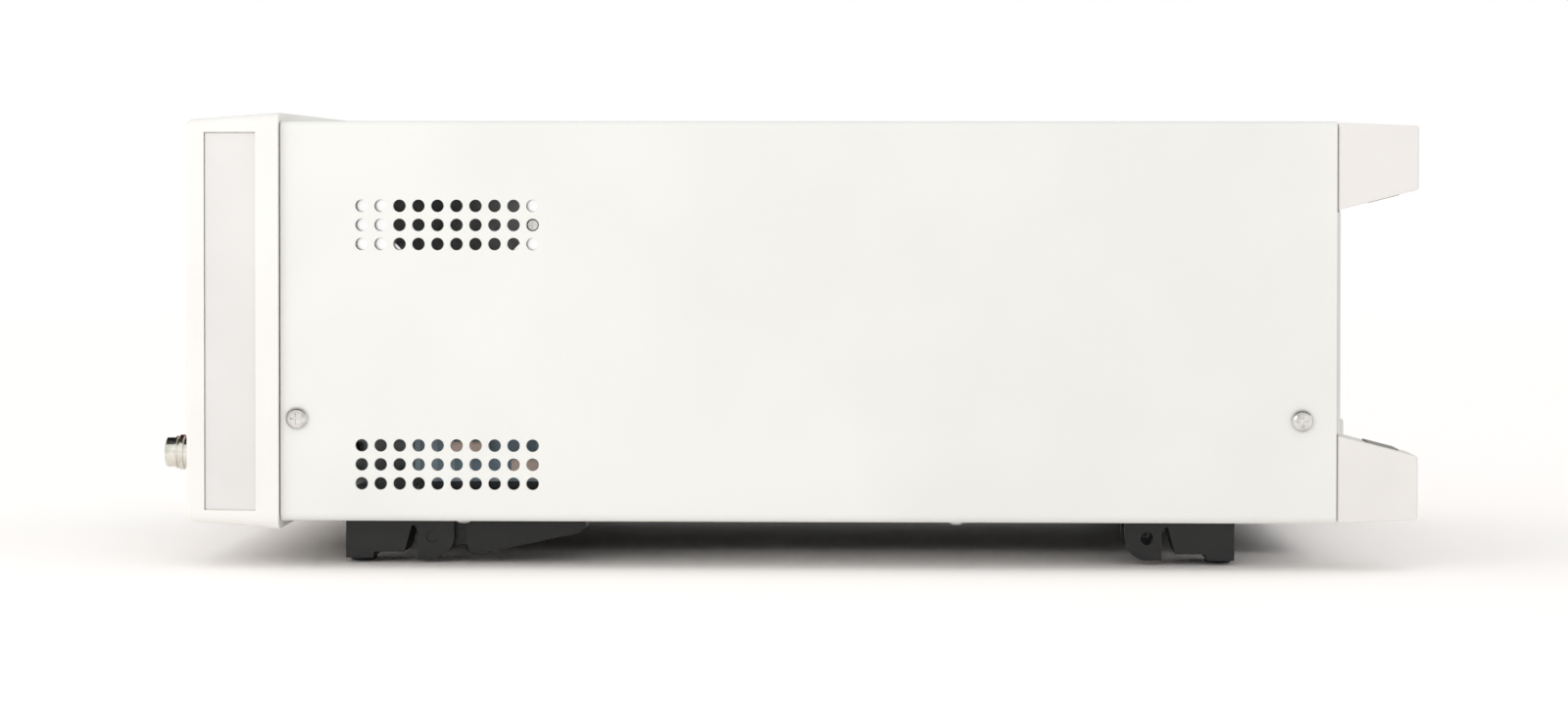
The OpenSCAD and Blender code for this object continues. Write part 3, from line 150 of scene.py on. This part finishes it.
def solder_mask():
    """A coloured film with lighter stepped tracks showing under it and tinned pads through it."""
    material, tree, place = new_material("solder_mask_on_glass_fibre")
    tracks = add(tree, "TexBrick", {
        "Vector": place, "Scale": 1 / (22 * MM), "Mortar Size": 0.035, "Mortar Smooth": 0.0,
        "Color1": linear("#8099A6"), "Color2": linear("#8EA3B2"), "Mortar": linear("#AEBFC8"),
    }, offset=0.37, squash=0.6)
    pads = add(tree, "TexVoronoi", {"Vector": place, "Scale": 1 / (4.5 * MM), "Randomness": 0.6})
    pad = add(tree, "Math", {0: pads.outputs["Distance"], 1: 0.17}, operation="LESS_THAN")
    tone = add(tree, "Mix", {
        0: pad.outputs[0], 6: tracks.outputs["Color"], 7: linear("#C6CCC9"),
    }, data_type="RGBA")
    bump = add(tree, "Bump", {"Height": pad.outputs[0], "Strength": 0.4, "Distance": 0.05 * MM})
    surface(tree, Base_Color=tone.outputs[2], Metallic=pad.outputs[0],
            Roughness=0.3, Normal=bump.outputs[0])
    return material


board = solder_mask()
dress(board, "main_board", "output_board", "keyboard_board")

# ---------------------------------------------------------------- parts on the boards
# Dipped and boxed film capacitors, a moulded chip and a strip connector stand on the upright
# board, where the vents let them be seen. Each has its own colour and a soft moulded edge.


def link_piece(name, mesh, body, material):
    """Makes a mesh an object that rides on a body and carries the given material."""
    obj = bpy.data.objects.new(name, mesh)
    bpy.context.scene.collection.objects.link(obj)
    mesh.materials.append(material)
    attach(obj, body)
    return obj


def to_mesh(name, bm):
    """Closes a bmesh into a mesh with its faces turned outwards."""
    bmesh.ops.recalc_face_normals(bm, faces=bm.faces)
    mesh = bpy.data.meshes.new(name)
    bm.to_mesh(mesh)
    bm.free()
    return mesh


def eased_blocks(name, blocks, round_mm, body, material):
    """Blocks given by their low and high corners in metres, all with rounded edges, as one piece."""
    bm = bmesh.new()
    for low, high in blocks:
        size = Vector(high) - Vector(low)
        middle = (Vector(high) + Vector(low)) / 2
        place = Matrix.Translation(middle) @ Matrix.Diagonal((*size, 1))
        made = bmesh.ops.create_cube(bm, size=1.0, matrix=place)
        edges = {e for v in made["verts"] for e in v.link_edges}
        bmesh.ops.bevel(bm, geom=list(edges), offset=round_mm * MM, segments=3, profile=0.5, affect="EDGES")
    obj = link_piece(name, to_mesh(name, bm), body, material)
    edge_strip = (1.2 * MM) ** 2
    for polygon in obj.data.polygons:
        polygon.use_smooth = polygon.area < edge_strip


def moulded(name, dark, light, rough=0.5, grain_mm=0.35):
    """Injection-moulded plastic: a spark-eroded grain, an even colour and a soft sheen."""
    material, tree, place = new_material(name)
    relief = 0.012 * MM
    tone = add(tree, "TexNoise", {"Vector": place, "Scale": 1 / (45 * MM), "Detail": 2.0})
    grain = add(tree, "TexNoise", {"Vector": place, "Scale": 1 / (grain_mm * MM), "Detail": 2.0})
    spread = add(tree, "MapRange", {
        "Value": grain.outputs["Fac"], "To Min": rough - 0.06, "To Max": rough + 0.08,
    })
    bump = add(tree, "Bump", {"Height": grain.outputs["Fac"], "Strength": 0.5, "Distance": relief})
    surface(tree, Base_Color=two_tones(tree, tone.outputs["Fac"], dark, light),
            Roughness=spread.outputs[0], Normal=bump.outputs[0])
    return material


def upright_parts():
    """Each part is given by its place along and up the board, its width and its height, in mm."""
    low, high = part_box("output_board")
    face = low.x + 1.6 * MM
    stand = 3.7 * MM
    lip = 0.2
    dipped = moulded("dipped_film_capacitor", "#E8CDBD", "#F2DDD0", rough=0.3, grain_mm=1.5)
    pale = moulded("boxed_film_capacitor", "#E7E2D2", "#F0ECDF", rough=0.4, grain_mm=0.8)
    dark = moulded("moulded_chip", "#202224", "#2B2D2F", rough=0.45)
    film = [(12, 6.5, 12, 5), (31, 1.2, 14, 4.6)]
    boxed = [(50, 18, 12, 7), (20, 28, 16, 12)]
    chips = [(66, 8, 16, 10)]
    for name, places, material, ease in (
        ("film_capacitors", film, dipped, 1.2),
        ("boxed_capacitors", boxed, pale, 0.5),
        ("chips", chips, dark, 0.3),
    ):
        blocks = [((face, low.y + (y - lip) * MM, low.z + (z - lip) * MM),
                   (face + stand, low.y + (y + w + lip) * MM, low.z + (z + h + lip) * MM))
                  for y, z, w, h in places]
        eased_blocks(name, blocks, ease, "case", material)
    connector = ((face, low.y + 2 * MM, low.z - 3.8 * MM),
                 (face + 2.6 * MM, high.y - 3 * MM, low.z - 1.5 * MM))
    eased_blocks("board_connector", [connector], 0.3, "case", dark)


upright_parts()

# ---------------------------------------------------------------- inside parts
# Ring transformer bound in polyester tape, sleeved capacitor cans, an anodised heatsink with
# black transistors, a grey ribbon, and black bodies for the switch and the display.


def winding_tape():
    """Glossy yellow tape wound in laps, so its ridges run out from the ring's middle."""
    material, tree, place = new_material("polyester_winding_tape")
    low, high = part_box("transformer")
    lap_count = 36
    middle = (low + high) / 2
    centre = add(tree, "Mapping", {"Vector": place, "Location": (-middle.x, -middle.y, 0)})
    laps = add(tree, "TexGradient", {"Vector": centre.outputs[0]}, gradient_type="RADIAL")
    wave = add(tree, "Math", {0: laps.outputs["Fac"], 1: 2 * math.pi * lap_count}, operation="MULTIPLY")
    ridge = add(tree, "Math", {0: wave.outputs[0]}, operation="SINE")
    bump = add(tree, "Bump", {"Height": ridge.outputs[0], "Strength": 0.6, "Distance": 0.2 * MM})
    surface(tree, Base_Color=two_tones(tree, ridge.outputs[0], "#B08F3A", "#C9A850", 0.2, 0.8),
            Roughness=0.28, Normal=bump.outputs[0])
    return material


def anodised():
    """A dull grey metal with fine die lines drawn along the extrusion."""
    material, tree, place = new_material("anodised_aluminium_extrusion")
    across, down_bar = 1 / (0.5 * MM), 1 / (90 * MM)
    along = add(tree, "Mapping", {"Vector": place, "Scale": (across, down_bar, across)})
    lines = add(tree, "TexNoise", {"Vector": along.outputs[0], "Scale": 1.0, "Detail": 2.0})
    bump = add(tree, "Bump", {"Height": lines.outputs["Fac"], "Strength": 0.3, "Distance": 0.02 * MM})
    surface(tree, Base_Color=two_tones(tree, lines.outputs["Fac"], "#A9ADB0", "#BEC2C4"),
            Metallic=1.0, Roughness=0.42, Normal=bump.outputs[0])
    return material


dress(winding_tape(), "transformer")
dress(anodised(), "heatsink")
dress(moulded("capacitor_sleeve", "#1F2C4A", "#273657", rough=0.3, grain_mm=2.0), "capacitors")
dress(moulded("transistor_epoxy", "#1B1C1D", "#242526"), "power_transistors")
dress(moulded("ribbon_insulation", "#8F959B", "#9EA4AA", grain_mm=1.2), "ribbon_cable")
dress(moulded("switch_body_nylon", "#1E1F20", "#292A2B"), "power_switch", "display_module")

# ---------------------------------------------------------------- fan
# Black glass-filled nylon frame and rotor behind a guard of plated wire rings. The wire is
# welded, then nickel plated.


def bright_nickel(name, dark="#C9C8C1", light="#DEDDD6", rough=0.18):
    """Bright plate: a warm mirror, clouded in patches and softened by a fine ripple."""
    material, tree, place = new_material(name)
    cloud = add(tree, "TexNoise", {"Vector": place, "Scale": 1 / (3 * MM), "Detail": 3.0})
    ripple = add(tree, "TexNoise", {"Vector": place, "Scale": 1 / (0.25 * MM), "Detail": 2.0})
    spread = add(tree, "MapRange", {
        "Value": cloud.outputs["Fac"], "To Min": rough - 0.05, "To Max": rough + 0.1,
    })
    bump = add(tree, "Bump", {"Height": ripple.outputs["Fac"], "Strength": 0.15, "Distance": 0.01 * MM})
    surface(tree, Base_Color=two_tones(tree, cloud.outputs["Fac"], dark, light),
            Metallic=1.0, Roughness=spread.outputs[0], Normal=bump.outputs[0])
    return material


black_nylon = moulded("glass_filled_nylon", "#1D1D1F", "#272729", rough=0.48, grain_mm=0.6)
nickel = bright_nickel("nickel_plated_steel")
dress(black_nylon, "fan_frame", "fan_rotor", round_mm=0.3)
dress(nickel, "fan_guard")

# ---------------------------------------------------------------- rear connectors
# Moulded black inlet with plated blades and a fuse drawer, a green plug-in terminal block
# and two data sockets in duller tinned shells.

dress(black_nylon, "inlet_housing", "fuse_drawer", round_mm=0.25)
dress(nickel, "inlet_blades")
tin = bright_nickel("tinned_socket_shell", "#A9A8A4", "#BDBCB8", rough=0.28)
dress(tin, "data_ports", round_mm=0.15)
dress(moulded("terminal_block_nylon", "#2B6A41", "#35784B", rough=0.4), "rear_terminals", round_mm=0.2)

# ---------------------------------------------------------------- front panel and its printing
# Moulded plate, matt, with its marks screen printed in dark grey ink. The ink stands a few
# hundredths of a millimetre off the plate, and its back lies just inside it.

INK_PROUD = 0.04 * MM
INK_SUNK = 0.05 * MM


def plates(name, outlines, y_front, y_back, body, material):
    """Flat shapes drawn in x and z, in metres, standing between two depths, as one piece."""
    bm = bmesh.new()
    for outline in outlines:
        face = bm.faces.new([bm.verts.new((x, y_back, z)) for x, z in outline])
        made = bmesh.ops.extrude_face_region(bm, geom=[face])
        for v in [g for g in made["geom"] if isinstance(g, bmesh.types.BMVert)]:
            v.co.y = y_front
    link_piece(name, to_mesh(name, bm), body, material)


def rect(x, z, w, h):
    """A rectangle's corners about its middle."""
    return [(x - w / 2, z - h / 2), (x + w / 2, z - h / 2), (x + w / 2, z + h / 2), (x - w / 2, z + h / 2)]


def arc_band(x, z, r, w, start, end, steps=40):
    """A band of a ring, from one angle to another, in degrees from +X."""
    turns = [math.radians(start + (end - start) * i / steps) for i in range(steps + 1)]
    outer = [(x + (r + w / 2) * math.cos(t), z + (r + w / 2) * math.sin(t)) for t in turns]
    inner = [(x + (r - w / 2) * math.cos(t), z + (r - w / 2) * math.sin(t)) for t in reversed(turns)]
    return outer + inner


panel_plastic = moulded("front_panel_abs", "#DADAD6", "#E2E2DE", rough=0.5)
ink = moulded("dark_grey_printing_ink", "#3F4346", "#4A4E51", rough=0.6, grain_mm=0.5)
dress(panel_plastic, "front_panel", round_mm=0.3)
panel_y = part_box("front_panel")[0].y
knob_low, knob_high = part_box("adjust_knob")
knob_x, knob_z = (knob_low.x + knob_high.x) / 2, (knob_low.z + knob_high.z) / 2
jack_low, jack_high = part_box("bnc_shell")
jack_x, jack_z = (jack_low.x + jack_high.x) / 2, (jack_low.z + jack_high.z) / 2


def socket_centres():
    """Where the five sockets are: sense and output minus, earth, output and sense plus."""
    found = []
    for name, parts in (("black_sockets", 2), ("earth_socket", 1), ("red_sockets", 2)):
        low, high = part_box(name)
        half = (high.z - low.z) / 2
        xs = [low.x + half, high.x - half][:parts]
        found += [(x, (low.z + high.z) / 2) for x in xs]
    return found


def front_printing():
    """Signs and a ruled line for the sockets, ticks round the knob and an arc over the jack."""
    marks = []
    sign_up = 13 * MM
    fine, line, bold = 0.35 * MM, 0.4 * MM, 0.5 * MM
    earth = 2
    centres = socket_centres()
    for i, (x, z) in enumerate(centres):
        z += sign_up
        if i == earth:
            marks += [rect(x, z + 0.8 * MM, line, 2.4 * MM)]
            marks += [rect(x, z - (0.5 + 1.1 * j) * MM, (4.4 - 1.5 * j) * MM, line) for j in range(3)]
        else:
            marks.append(rect(x, z, 3.6 * MM, bold))
            if i > earth:
                marks += [rect(x, z + up * 1.03 * MM, bold, 1.55 * MM) for up in (1, -1)]
    left, right = centres[0][0] - 12 * MM, centres[-1][0] + 12 * MM
    base = centres[0][1] - 11 * MM
    side_h = 18 * MM
    marks.append(rect((left + right) / 2, base, right - left, fine))
    marks += [rect(x, base + side_h / 2, fine, side_h + fine) for x in (left, right)]
    tick_r, tick_step = 17.2 * MM, 27
    for i in range(-5, 6):
        turn = math.radians(90 + tick_step * i)
        x, z = knob_x + tick_r * math.cos(turn), knob_z + tick_r * math.sin(turn)
        across = Vector((math.sin(turn), -math.cos(turn))) * line / 2
        out = Vector((math.cos(turn), math.sin(turn))) * (1.1 if i % 5 == 0 else 0.7) * MM
        marks.append([(x + sx * across.x + sz * out.x, z + sx * across.y + sz * out.y)
                      for sx, sz in ((-1, -1), (1, -1), (1, 1), (-1, 1))])
    marks.append(arc_band(jack_x, jack_z, 10.5 * MM, fine, 20, 160))
    plates("front_printing", marks, panel_y - INK_PROUD, panel_y + INK_SUNK, "case", ink)


front_printing()

# ---------------------------------------------------------------- display
# Smoked acrylic window, polished to a sharp gloss over a near-black body. The digits of the
# display shine through it as slanted bars of pale blue-green.


def smoked_acrylic():
    """Near-black acrylic with a sharp gloss, very slightly uneven."""
    material, tree, place = new_material("smoked_acrylic")
    haze = add(tree, "TexNoise", {"Vector": place, "Scale": 1 / (30 * MM), "Detail": 2.0})
    gloss = add(tree, "MapRange", {"Value": haze.outputs["Fac"], "To Min": 0.03, "To Max": 0.08})
    surface(tree, Base_Color=two_tones(tree, haze.outputs["Fac"], "#14181B", "#191E22"),
            Roughness=gloss.outputs[0], IOR=1.49, Coat_Weight=0.3, Coat_Roughness=0.03)
    return material


def lit_segments():
    """The pale blue-green of a segment that glows by itself."""
    material, tree, place = new_material("lit_display_segment")
    glow = add(tree, "TexNoise", {"Vector": place, "Scale": 1 / (2 * MM), "Detail": 1.0})
    surface(tree, Base_Color=two_tones(tree, glow.outputs["Fac"], "#8FE3DA", "#A8F0E8"),
            Emission_Color=linear("#9BEDE4"), Emission_Strength=1.2, Roughness=0.4)
    return material


SEGMENTS = {"0": "abcdef", "1": "bc", "2": "abged", "3": "abgcd", "4": "fgbc", "5": "afgcd",
            "6": "afgedc", "7": "abc", "8": "abcdefg", "9": "abcdfg"}


def segment_digits(text, x, z, height, pen):
    """Outlines of slanted seven-segment digits, their first digit's lower left corner at x, z."""
    width = height * 0.52
    pitch = width * 1.62
    slant = 0.1
    half = height / 2
    gap = pen * 0.12
    places = {
        "a": (width / 2, height, 1), "g": (width / 2, half, 1), "d": (width / 2, 0, 1),
        "f": (0, half * 1.5, 0), "b": (width, half * 1.5, 0),
        "e": (0, half / 2, 0), "c": (width, half / 2, 0),
    }
    outlines = []
    for sign in text:
        if sign == ".":
            outlines.append([(x - pen * 1.3 + px, z + pz) for px, pz in rect(0, 0, pen, pen)])
            continue
        for key in SEGMENTS[sign]:
            cx, cz, flat = places[key]
            reach = (width if flat else half) / 2 - gap
            tip = pen / 2
            bar = [(-reach, 0), (-reach + tip, -tip), (reach - tip, -tip),
                   (reach, 0), (reach - tip, tip), (-reach + tip, tip)]
            if not flat:
                bar = [(-b, a) for a, b in bar]
            outlines.append([(x + cx + a + slant * (cz + b), z + cz + b) for a, b in bar])
        x += pitch
    return outlines


dress(smoked_acrylic(), "display_window", round_mm=0.3)
window_low, window_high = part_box("display_window")
window_y = window_low.y


def display_digits():
    """Volts in tall digits over amps in smaller ones, standing just proud of the window's face."""
    left, low = window_low.x + 12 * MM, window_low.z
    digits = segment_digits("12.000", left, low + 29 * MM, 17 * MM, 2.1 * MM)
    digits += segment_digits("1.5000", left + 8 * MM, low + 9 * MM, 11 * MM, 1.4 * MM)
    plates("display_digits", digits, window_y - 0.05 * MM, window_y + 0.1 * MM,
           "case", lit_segments())


display_digits()

# ---------------------------------------------------------------- keys
# Moulded caps, matt, each printed with a number. A key slides in its hole and its number
# goes with it. The output key is darker, and the power button has a ring and bar.


def printed_number(text, x, z, y, height, body, material):
    """A number in the plain built-in typeface, standing on a face that looks along -Y."""
    curve = bpy.data.curves.new("number_" + text, "FONT")
    curve.body = text
    curve.size = height * 1.35
    curve.align_x, curve.align_y = "CENTER", "CENTER"
    curve.extrude = 0.03 * MM
    shape = bpy.data.objects.new("shape", curve)
    bpy.context.scene.collection.objects.link(shape)
    bpy.context.view_layer.update()
    mesh = bpy.data.meshes.new_from_object(shape)
    bpy.data.objects.remove(shape)
    mesh.transform(Matrix.Translation((x, y, z)) @ Matrix.Rotation(math.radians(90), 4, "X"))
    link_piece(f"number_{text}_{body}", mesh, body, material)


key_plastic = moulded("key_abs", "#D2CFC8", "#DBD8D1", rough=0.46)
for number in range(1, 10):
    node = f"key_{number}"
    dress(key_plastic, node, round_mm=0.35)
    low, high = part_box(node)
    printed_number(str(number), (low.x + high.x) / 2, (low.z + high.z) / 2, low.y, 4.2 * MM,
                   node + "_cap", ink)

dress(moulded("output_key_abs", "#7E8B94", "#89959E", rough=0.46), "output_key", round_mm=0.35)
dress(key_plastic, "power_button", round_mm=0.35)
white_ink = moulded("white_printing_ink", "#ECECEA", "#F6F6F4", rough=0.6, grain_mm=0.5)


def pressed_symbols():
    """A ring broken by a bar on the power button, and a bar and a ring on the output key."""
    low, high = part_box("power_button")
    x, z, y = (low.x + high.x) / 2, (low.z + high.z) / 2, low.y
    symbol = [arc_band(x, z, 2.6 * MM, 0.55 * MM, 125, 415),
              rect(x, z + 2.4 * MM, 0.55 * MM, 2.6 * MM)]
    plates("power_symbol", symbol, y - INK_PROUD, y + INK_SUNK, "power", ink)
    low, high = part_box("output_key")
    x, z, y = (low.x + high.x) / 2, (low.z + high.z) / 2, low.y
    symbol = [arc_band(x + 2.2 * MM, z, 1.6 * MM, 0.4 * MM, 0, 360),
              rect(x - 3.2 * MM, z, 0.5 * MM, 3.4 * MM)]
    plates("output_symbol", symbol, y - INK_PROUD, y + INK_SUNK,
           "output_button", white_ink)


pressed_symbols()

# ---------------------------------------------------------------- knob
# One ABS moulding with a fluted skirt and a dished face, pushed onto the encoder's plated
# shaft. It is a little glossier than the keys, so its flutes read as fine lines.

dress(moulded("knob_abs", "#BDBAB2", "#C8C5BD", rough=0.4), "adjust_knob", round_mm=0.25)
dress(nickel, "encoder_shaft")

# ---------------------------------------------------------------- sockets and coaxial jack
# Glossy polyamide bodies round plated contacts, and a nickel-plated brass jack with a waxy
# white insulator and a gilt contact. The brass pillars under the boards share its yellow.

gilt = bright_nickel("gilt_contact", "#B88E3A", "#D2AC55", rough=0.22)
dress(moulded("red_polyamide", "#A81F24", "#B5282C", rough=0.22, grain_mm=1.2), "red_sockets")
dress(moulded("black_polyamide", "#17181A", "#1F2022", rough=0.22, grain_mm=1.2), "black_sockets")
dress(moulded("green_polyamide", "#3F7D30", "#4A8A3A", rough=0.22, grain_mm=1.2), "earth_socket")
dress(nickel, "socket_contacts", "panel_nuts")
dress(bright_nickel("nickel_plated_brass", "#CFCDC2", "#E4E2D8", rough=0.16), "bnc_shell")
dress(moulded("ptfe_insulator", "#ECE9DF", "#F5F2EA", rough=0.38, grain_mm=1.5), "bnc_insulator")
dress(gilt, "bnc_contact", "board_standoffs")

# ---------------------------------------------------------------- bezel and its side strips
# Moulded in a warm white, with a fine even grain and eased edges; a softer grey strip lies
# in the recess of each side wall.

dress(moulded("warm_white_abs", "#E8E6E2", "#EDEBE7", rough=0.5), "bezel", round_mm=0.7, segments=3)
dress(moulded("soft_grey_strip", "#DAD8D6", "#E0DEDC", rough=0.6), "bezel_side_strips")

# ---------------------------------------------------------------- cover
# One folded sheet in a pale grey-white powder coat, slid over the chassis and screwed at
# its sides and underneath.

dress(powder_coat("cover_powder_coat", "#E3E3DF", "#E8E8E4"), "cover")

# ---------------------------------------------------------------- screws
# Pan heads with a cross recess, cold formed in steel and nickel plated. The plate is bright
# and mirrors the room, so a head changes tone between its crown and its eased rim.

screw_nickel = bright_nickel("nickel_plated_screws", "#BCBBB7", "#DDDCD8", rough=0.1)
dress(screw_nickel, "side_screws", "bottom_screws", "inner_screws", "rear_screws", round_mm=0.2)

# ---------------------------------------------------------------- feet, tilt legs and bumpers
# Black moulded feet with rubber discs under them, tilt legs folded back between their forks,
# and pale moulded bumpers at the rear corners, each with a pad let into it whose grey is painted shade
# along the bumper's lower edge.

dress(moulded("foot_abs", "#0F0F0F", "#161616", rough=0.45), "feet", round_mm=0.3)
dress(moulded("leg_abs", "#060606", "#0C0C0C", rough=0.42), "tilt_leg_left", "tilt_leg_right", round_mm=0.3)
dress(moulded("pad_rubber", "#2A2A2A", "#353535", rough=0.75, grain_mm=0.8), "foot_pads")
bumper_plastic = moulded("bumper_abs", "#E1DEDB", "#E6E3E0", rough=0.55)
dress(bumper_plastic, "rear_bumpers", round_mm=0.4)


def bumper_pads():
    """Pads let into the sloping inner face of each bumper, half a millimetre proud; their grey is painted
    shade.
    """
    low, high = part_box("rear_bumpers")
    root_h = 27.4
    slope = 6.4 / 24.8
    proud, sunk = 0.5, 2.5
    bm = bmesh.new()
    for side, edge in ((1, high.x), (-1, low.x)):
        for up, rim in ((1, high.z), (-1, low.z)):
            corners = []
            for x, y in ((8.9, 10.5), (22.4, 10.5), (22.4, 20.4), (8.9, 20.4)):
                for depth in (-proud, sunk):
                    drop = root_h - (slope * y + depth)
                    corner = (edge - side * x * MM, low.y + y * MM, rim - up * drop * MM)
                    corners.append(bm.verts.new(corner))
            bmesh.ops.convex_hull(bm, input=corners)
    sharp = [e for e in bm.edges if e.calc_face_angle(0) > 0.5]
    bmesh.ops.bevel(bm, geom=sharp, offset=0.3 * MM, segments=2, profile=0.5, affect="EDGES")
    # The pads stand proud as real shapes, and their grey colour is painted shade along each bumper's lower
    # edge.
    material = moulded("bumper_pad_painted_shade", "#8C8B86", "#97968F", rough=0.75)
    link_piece("bumper_pads", to_mesh("bumper_pads", bm), "case", material)


bumper_pads()

# ---------------------------------------------------------------- stage, light and camera
# A wide pale floor in a white room, a broad soft light from straight above and a softbox off
# the front right. A dark card overhead shows only in what shines, and a black one held under
# the case, unseen by the camera, deepens the shade there.


def stage_card(name, half_x, half_y, centre, material):
    """A level rectangle of the stage."""
    mesh = bpy.data.meshes.new(name)
    mesh.from_pydata([(sx * half_x, sy * half_y, 0) for sx, sy in ((-1, -1), (1, -1), (1, 1), (-1, 1))],
                     [], [(0, 1, 2, 3)])
    mesh.materials.append(material)
    obj = bpy.data.objects.new(name, mesh)
    obj.location = centre
    bpy.context.scene.collection.objects.link(obj)
    return obj


def stage_and_light():
    """The floor, the two cards, the white room and the two lamps."""
    material, tree, _ = new_material("pale_floor")
    surface(tree, Base_Color=linear("#FFFCFA"), Roughness=0.7, Specular_IOR_Level=0.2)
    stage_card("floor", 40, 40, (0, 0, 0), material)
    material, tree, _ = new_material("dark_card")
    surface(tree, Base_Color=linear("#16150F"), Roughness=1.0, Specular_IOR_Level=0.0)
    card = stage_card("dark_card", 1.6, 1.6, (-1.1, 0, 0.9), material)
    card.visible_camera = card.visible_diffuse = card.visible_shadow = False
    low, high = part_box("cover")
    middle = (low + high) / 2
    half_x, half_y = 0.062, (high.y - low.y) / 2 - 0.006
    off_floor, to_left = 0.008, 0.018
    flag = stage_card("black_flag", half_x, half_y, (middle.x - to_left, middle.y, off_floor), material)
    flag.visible_camera = flag.visible_glossy = False
    world = bpy.data.worlds.new("white_room")
    world.use_nodes = True
    world.node_tree.nodes["Background"].inputs["Color"].default_value = (1, 1, 1, 1)
    world.node_tree.nodes["Background"].inputs["Strength"].default_value = 1.0
    bpy.context.scene.world = world
    soft_sun = {"energy": 0.25, "angle": math.radians(50)}
    softbox = {"energy": 1.9, "shape": "DISK", "size": 0.6}
    for name, kind, place, aim, settings in (
        ("overhead_light", "SUN", (0.1, 0, 2), (0, 0, 0), soft_sun),
        ("front_softbox", "AREA", (0.9, -0.75, 0.45), (0, -0.1, 0.07), softbox),
    ):
        lamp = bpy.data.lights.new(name, kind)
        for key, value in settings.items():
            setattr(lamp, key, value)
        obj = bpy.data.objects.new(name, lamp)
        obj.location = place
        obj.rotation_euler = (Vector(aim) - Vector(place)).to_track_quat("-Z", "Y").to_euler()
        bpy.context.scene.collection.objects.link(obj)


def make_camera():
    """A long lens 1.2 m off the right-hand side, level with the upper part of the case."""
    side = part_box("cover")[1].x
    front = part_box("bezel")[0].y
    away, along, up = 1.2, 0.2166, 0.1216
    tilt, roll, turn = 88.9, -0.05, 91.6
    camera = bpy.data.cameras.new("camera")
    camera.sensor_width = 36.0
    camera.lens = 87.75
    camera.shift_x = 0.0113
    camera.shift_y = -0.0596
    obj = bpy.data.objects.new("camera", camera)
    obj.location = (side + away, front + along, up)
    obj.rotation_euler = (math.radians(tilt), math.radians(roll), math.radians(turn))
    bpy.context.scene.collection.objects.link(obj)
    bpy.context.scene.camera = obj


stage_and_light()
make_camera()
bpy.context.scene.view_settings.view_transform = "Standard"
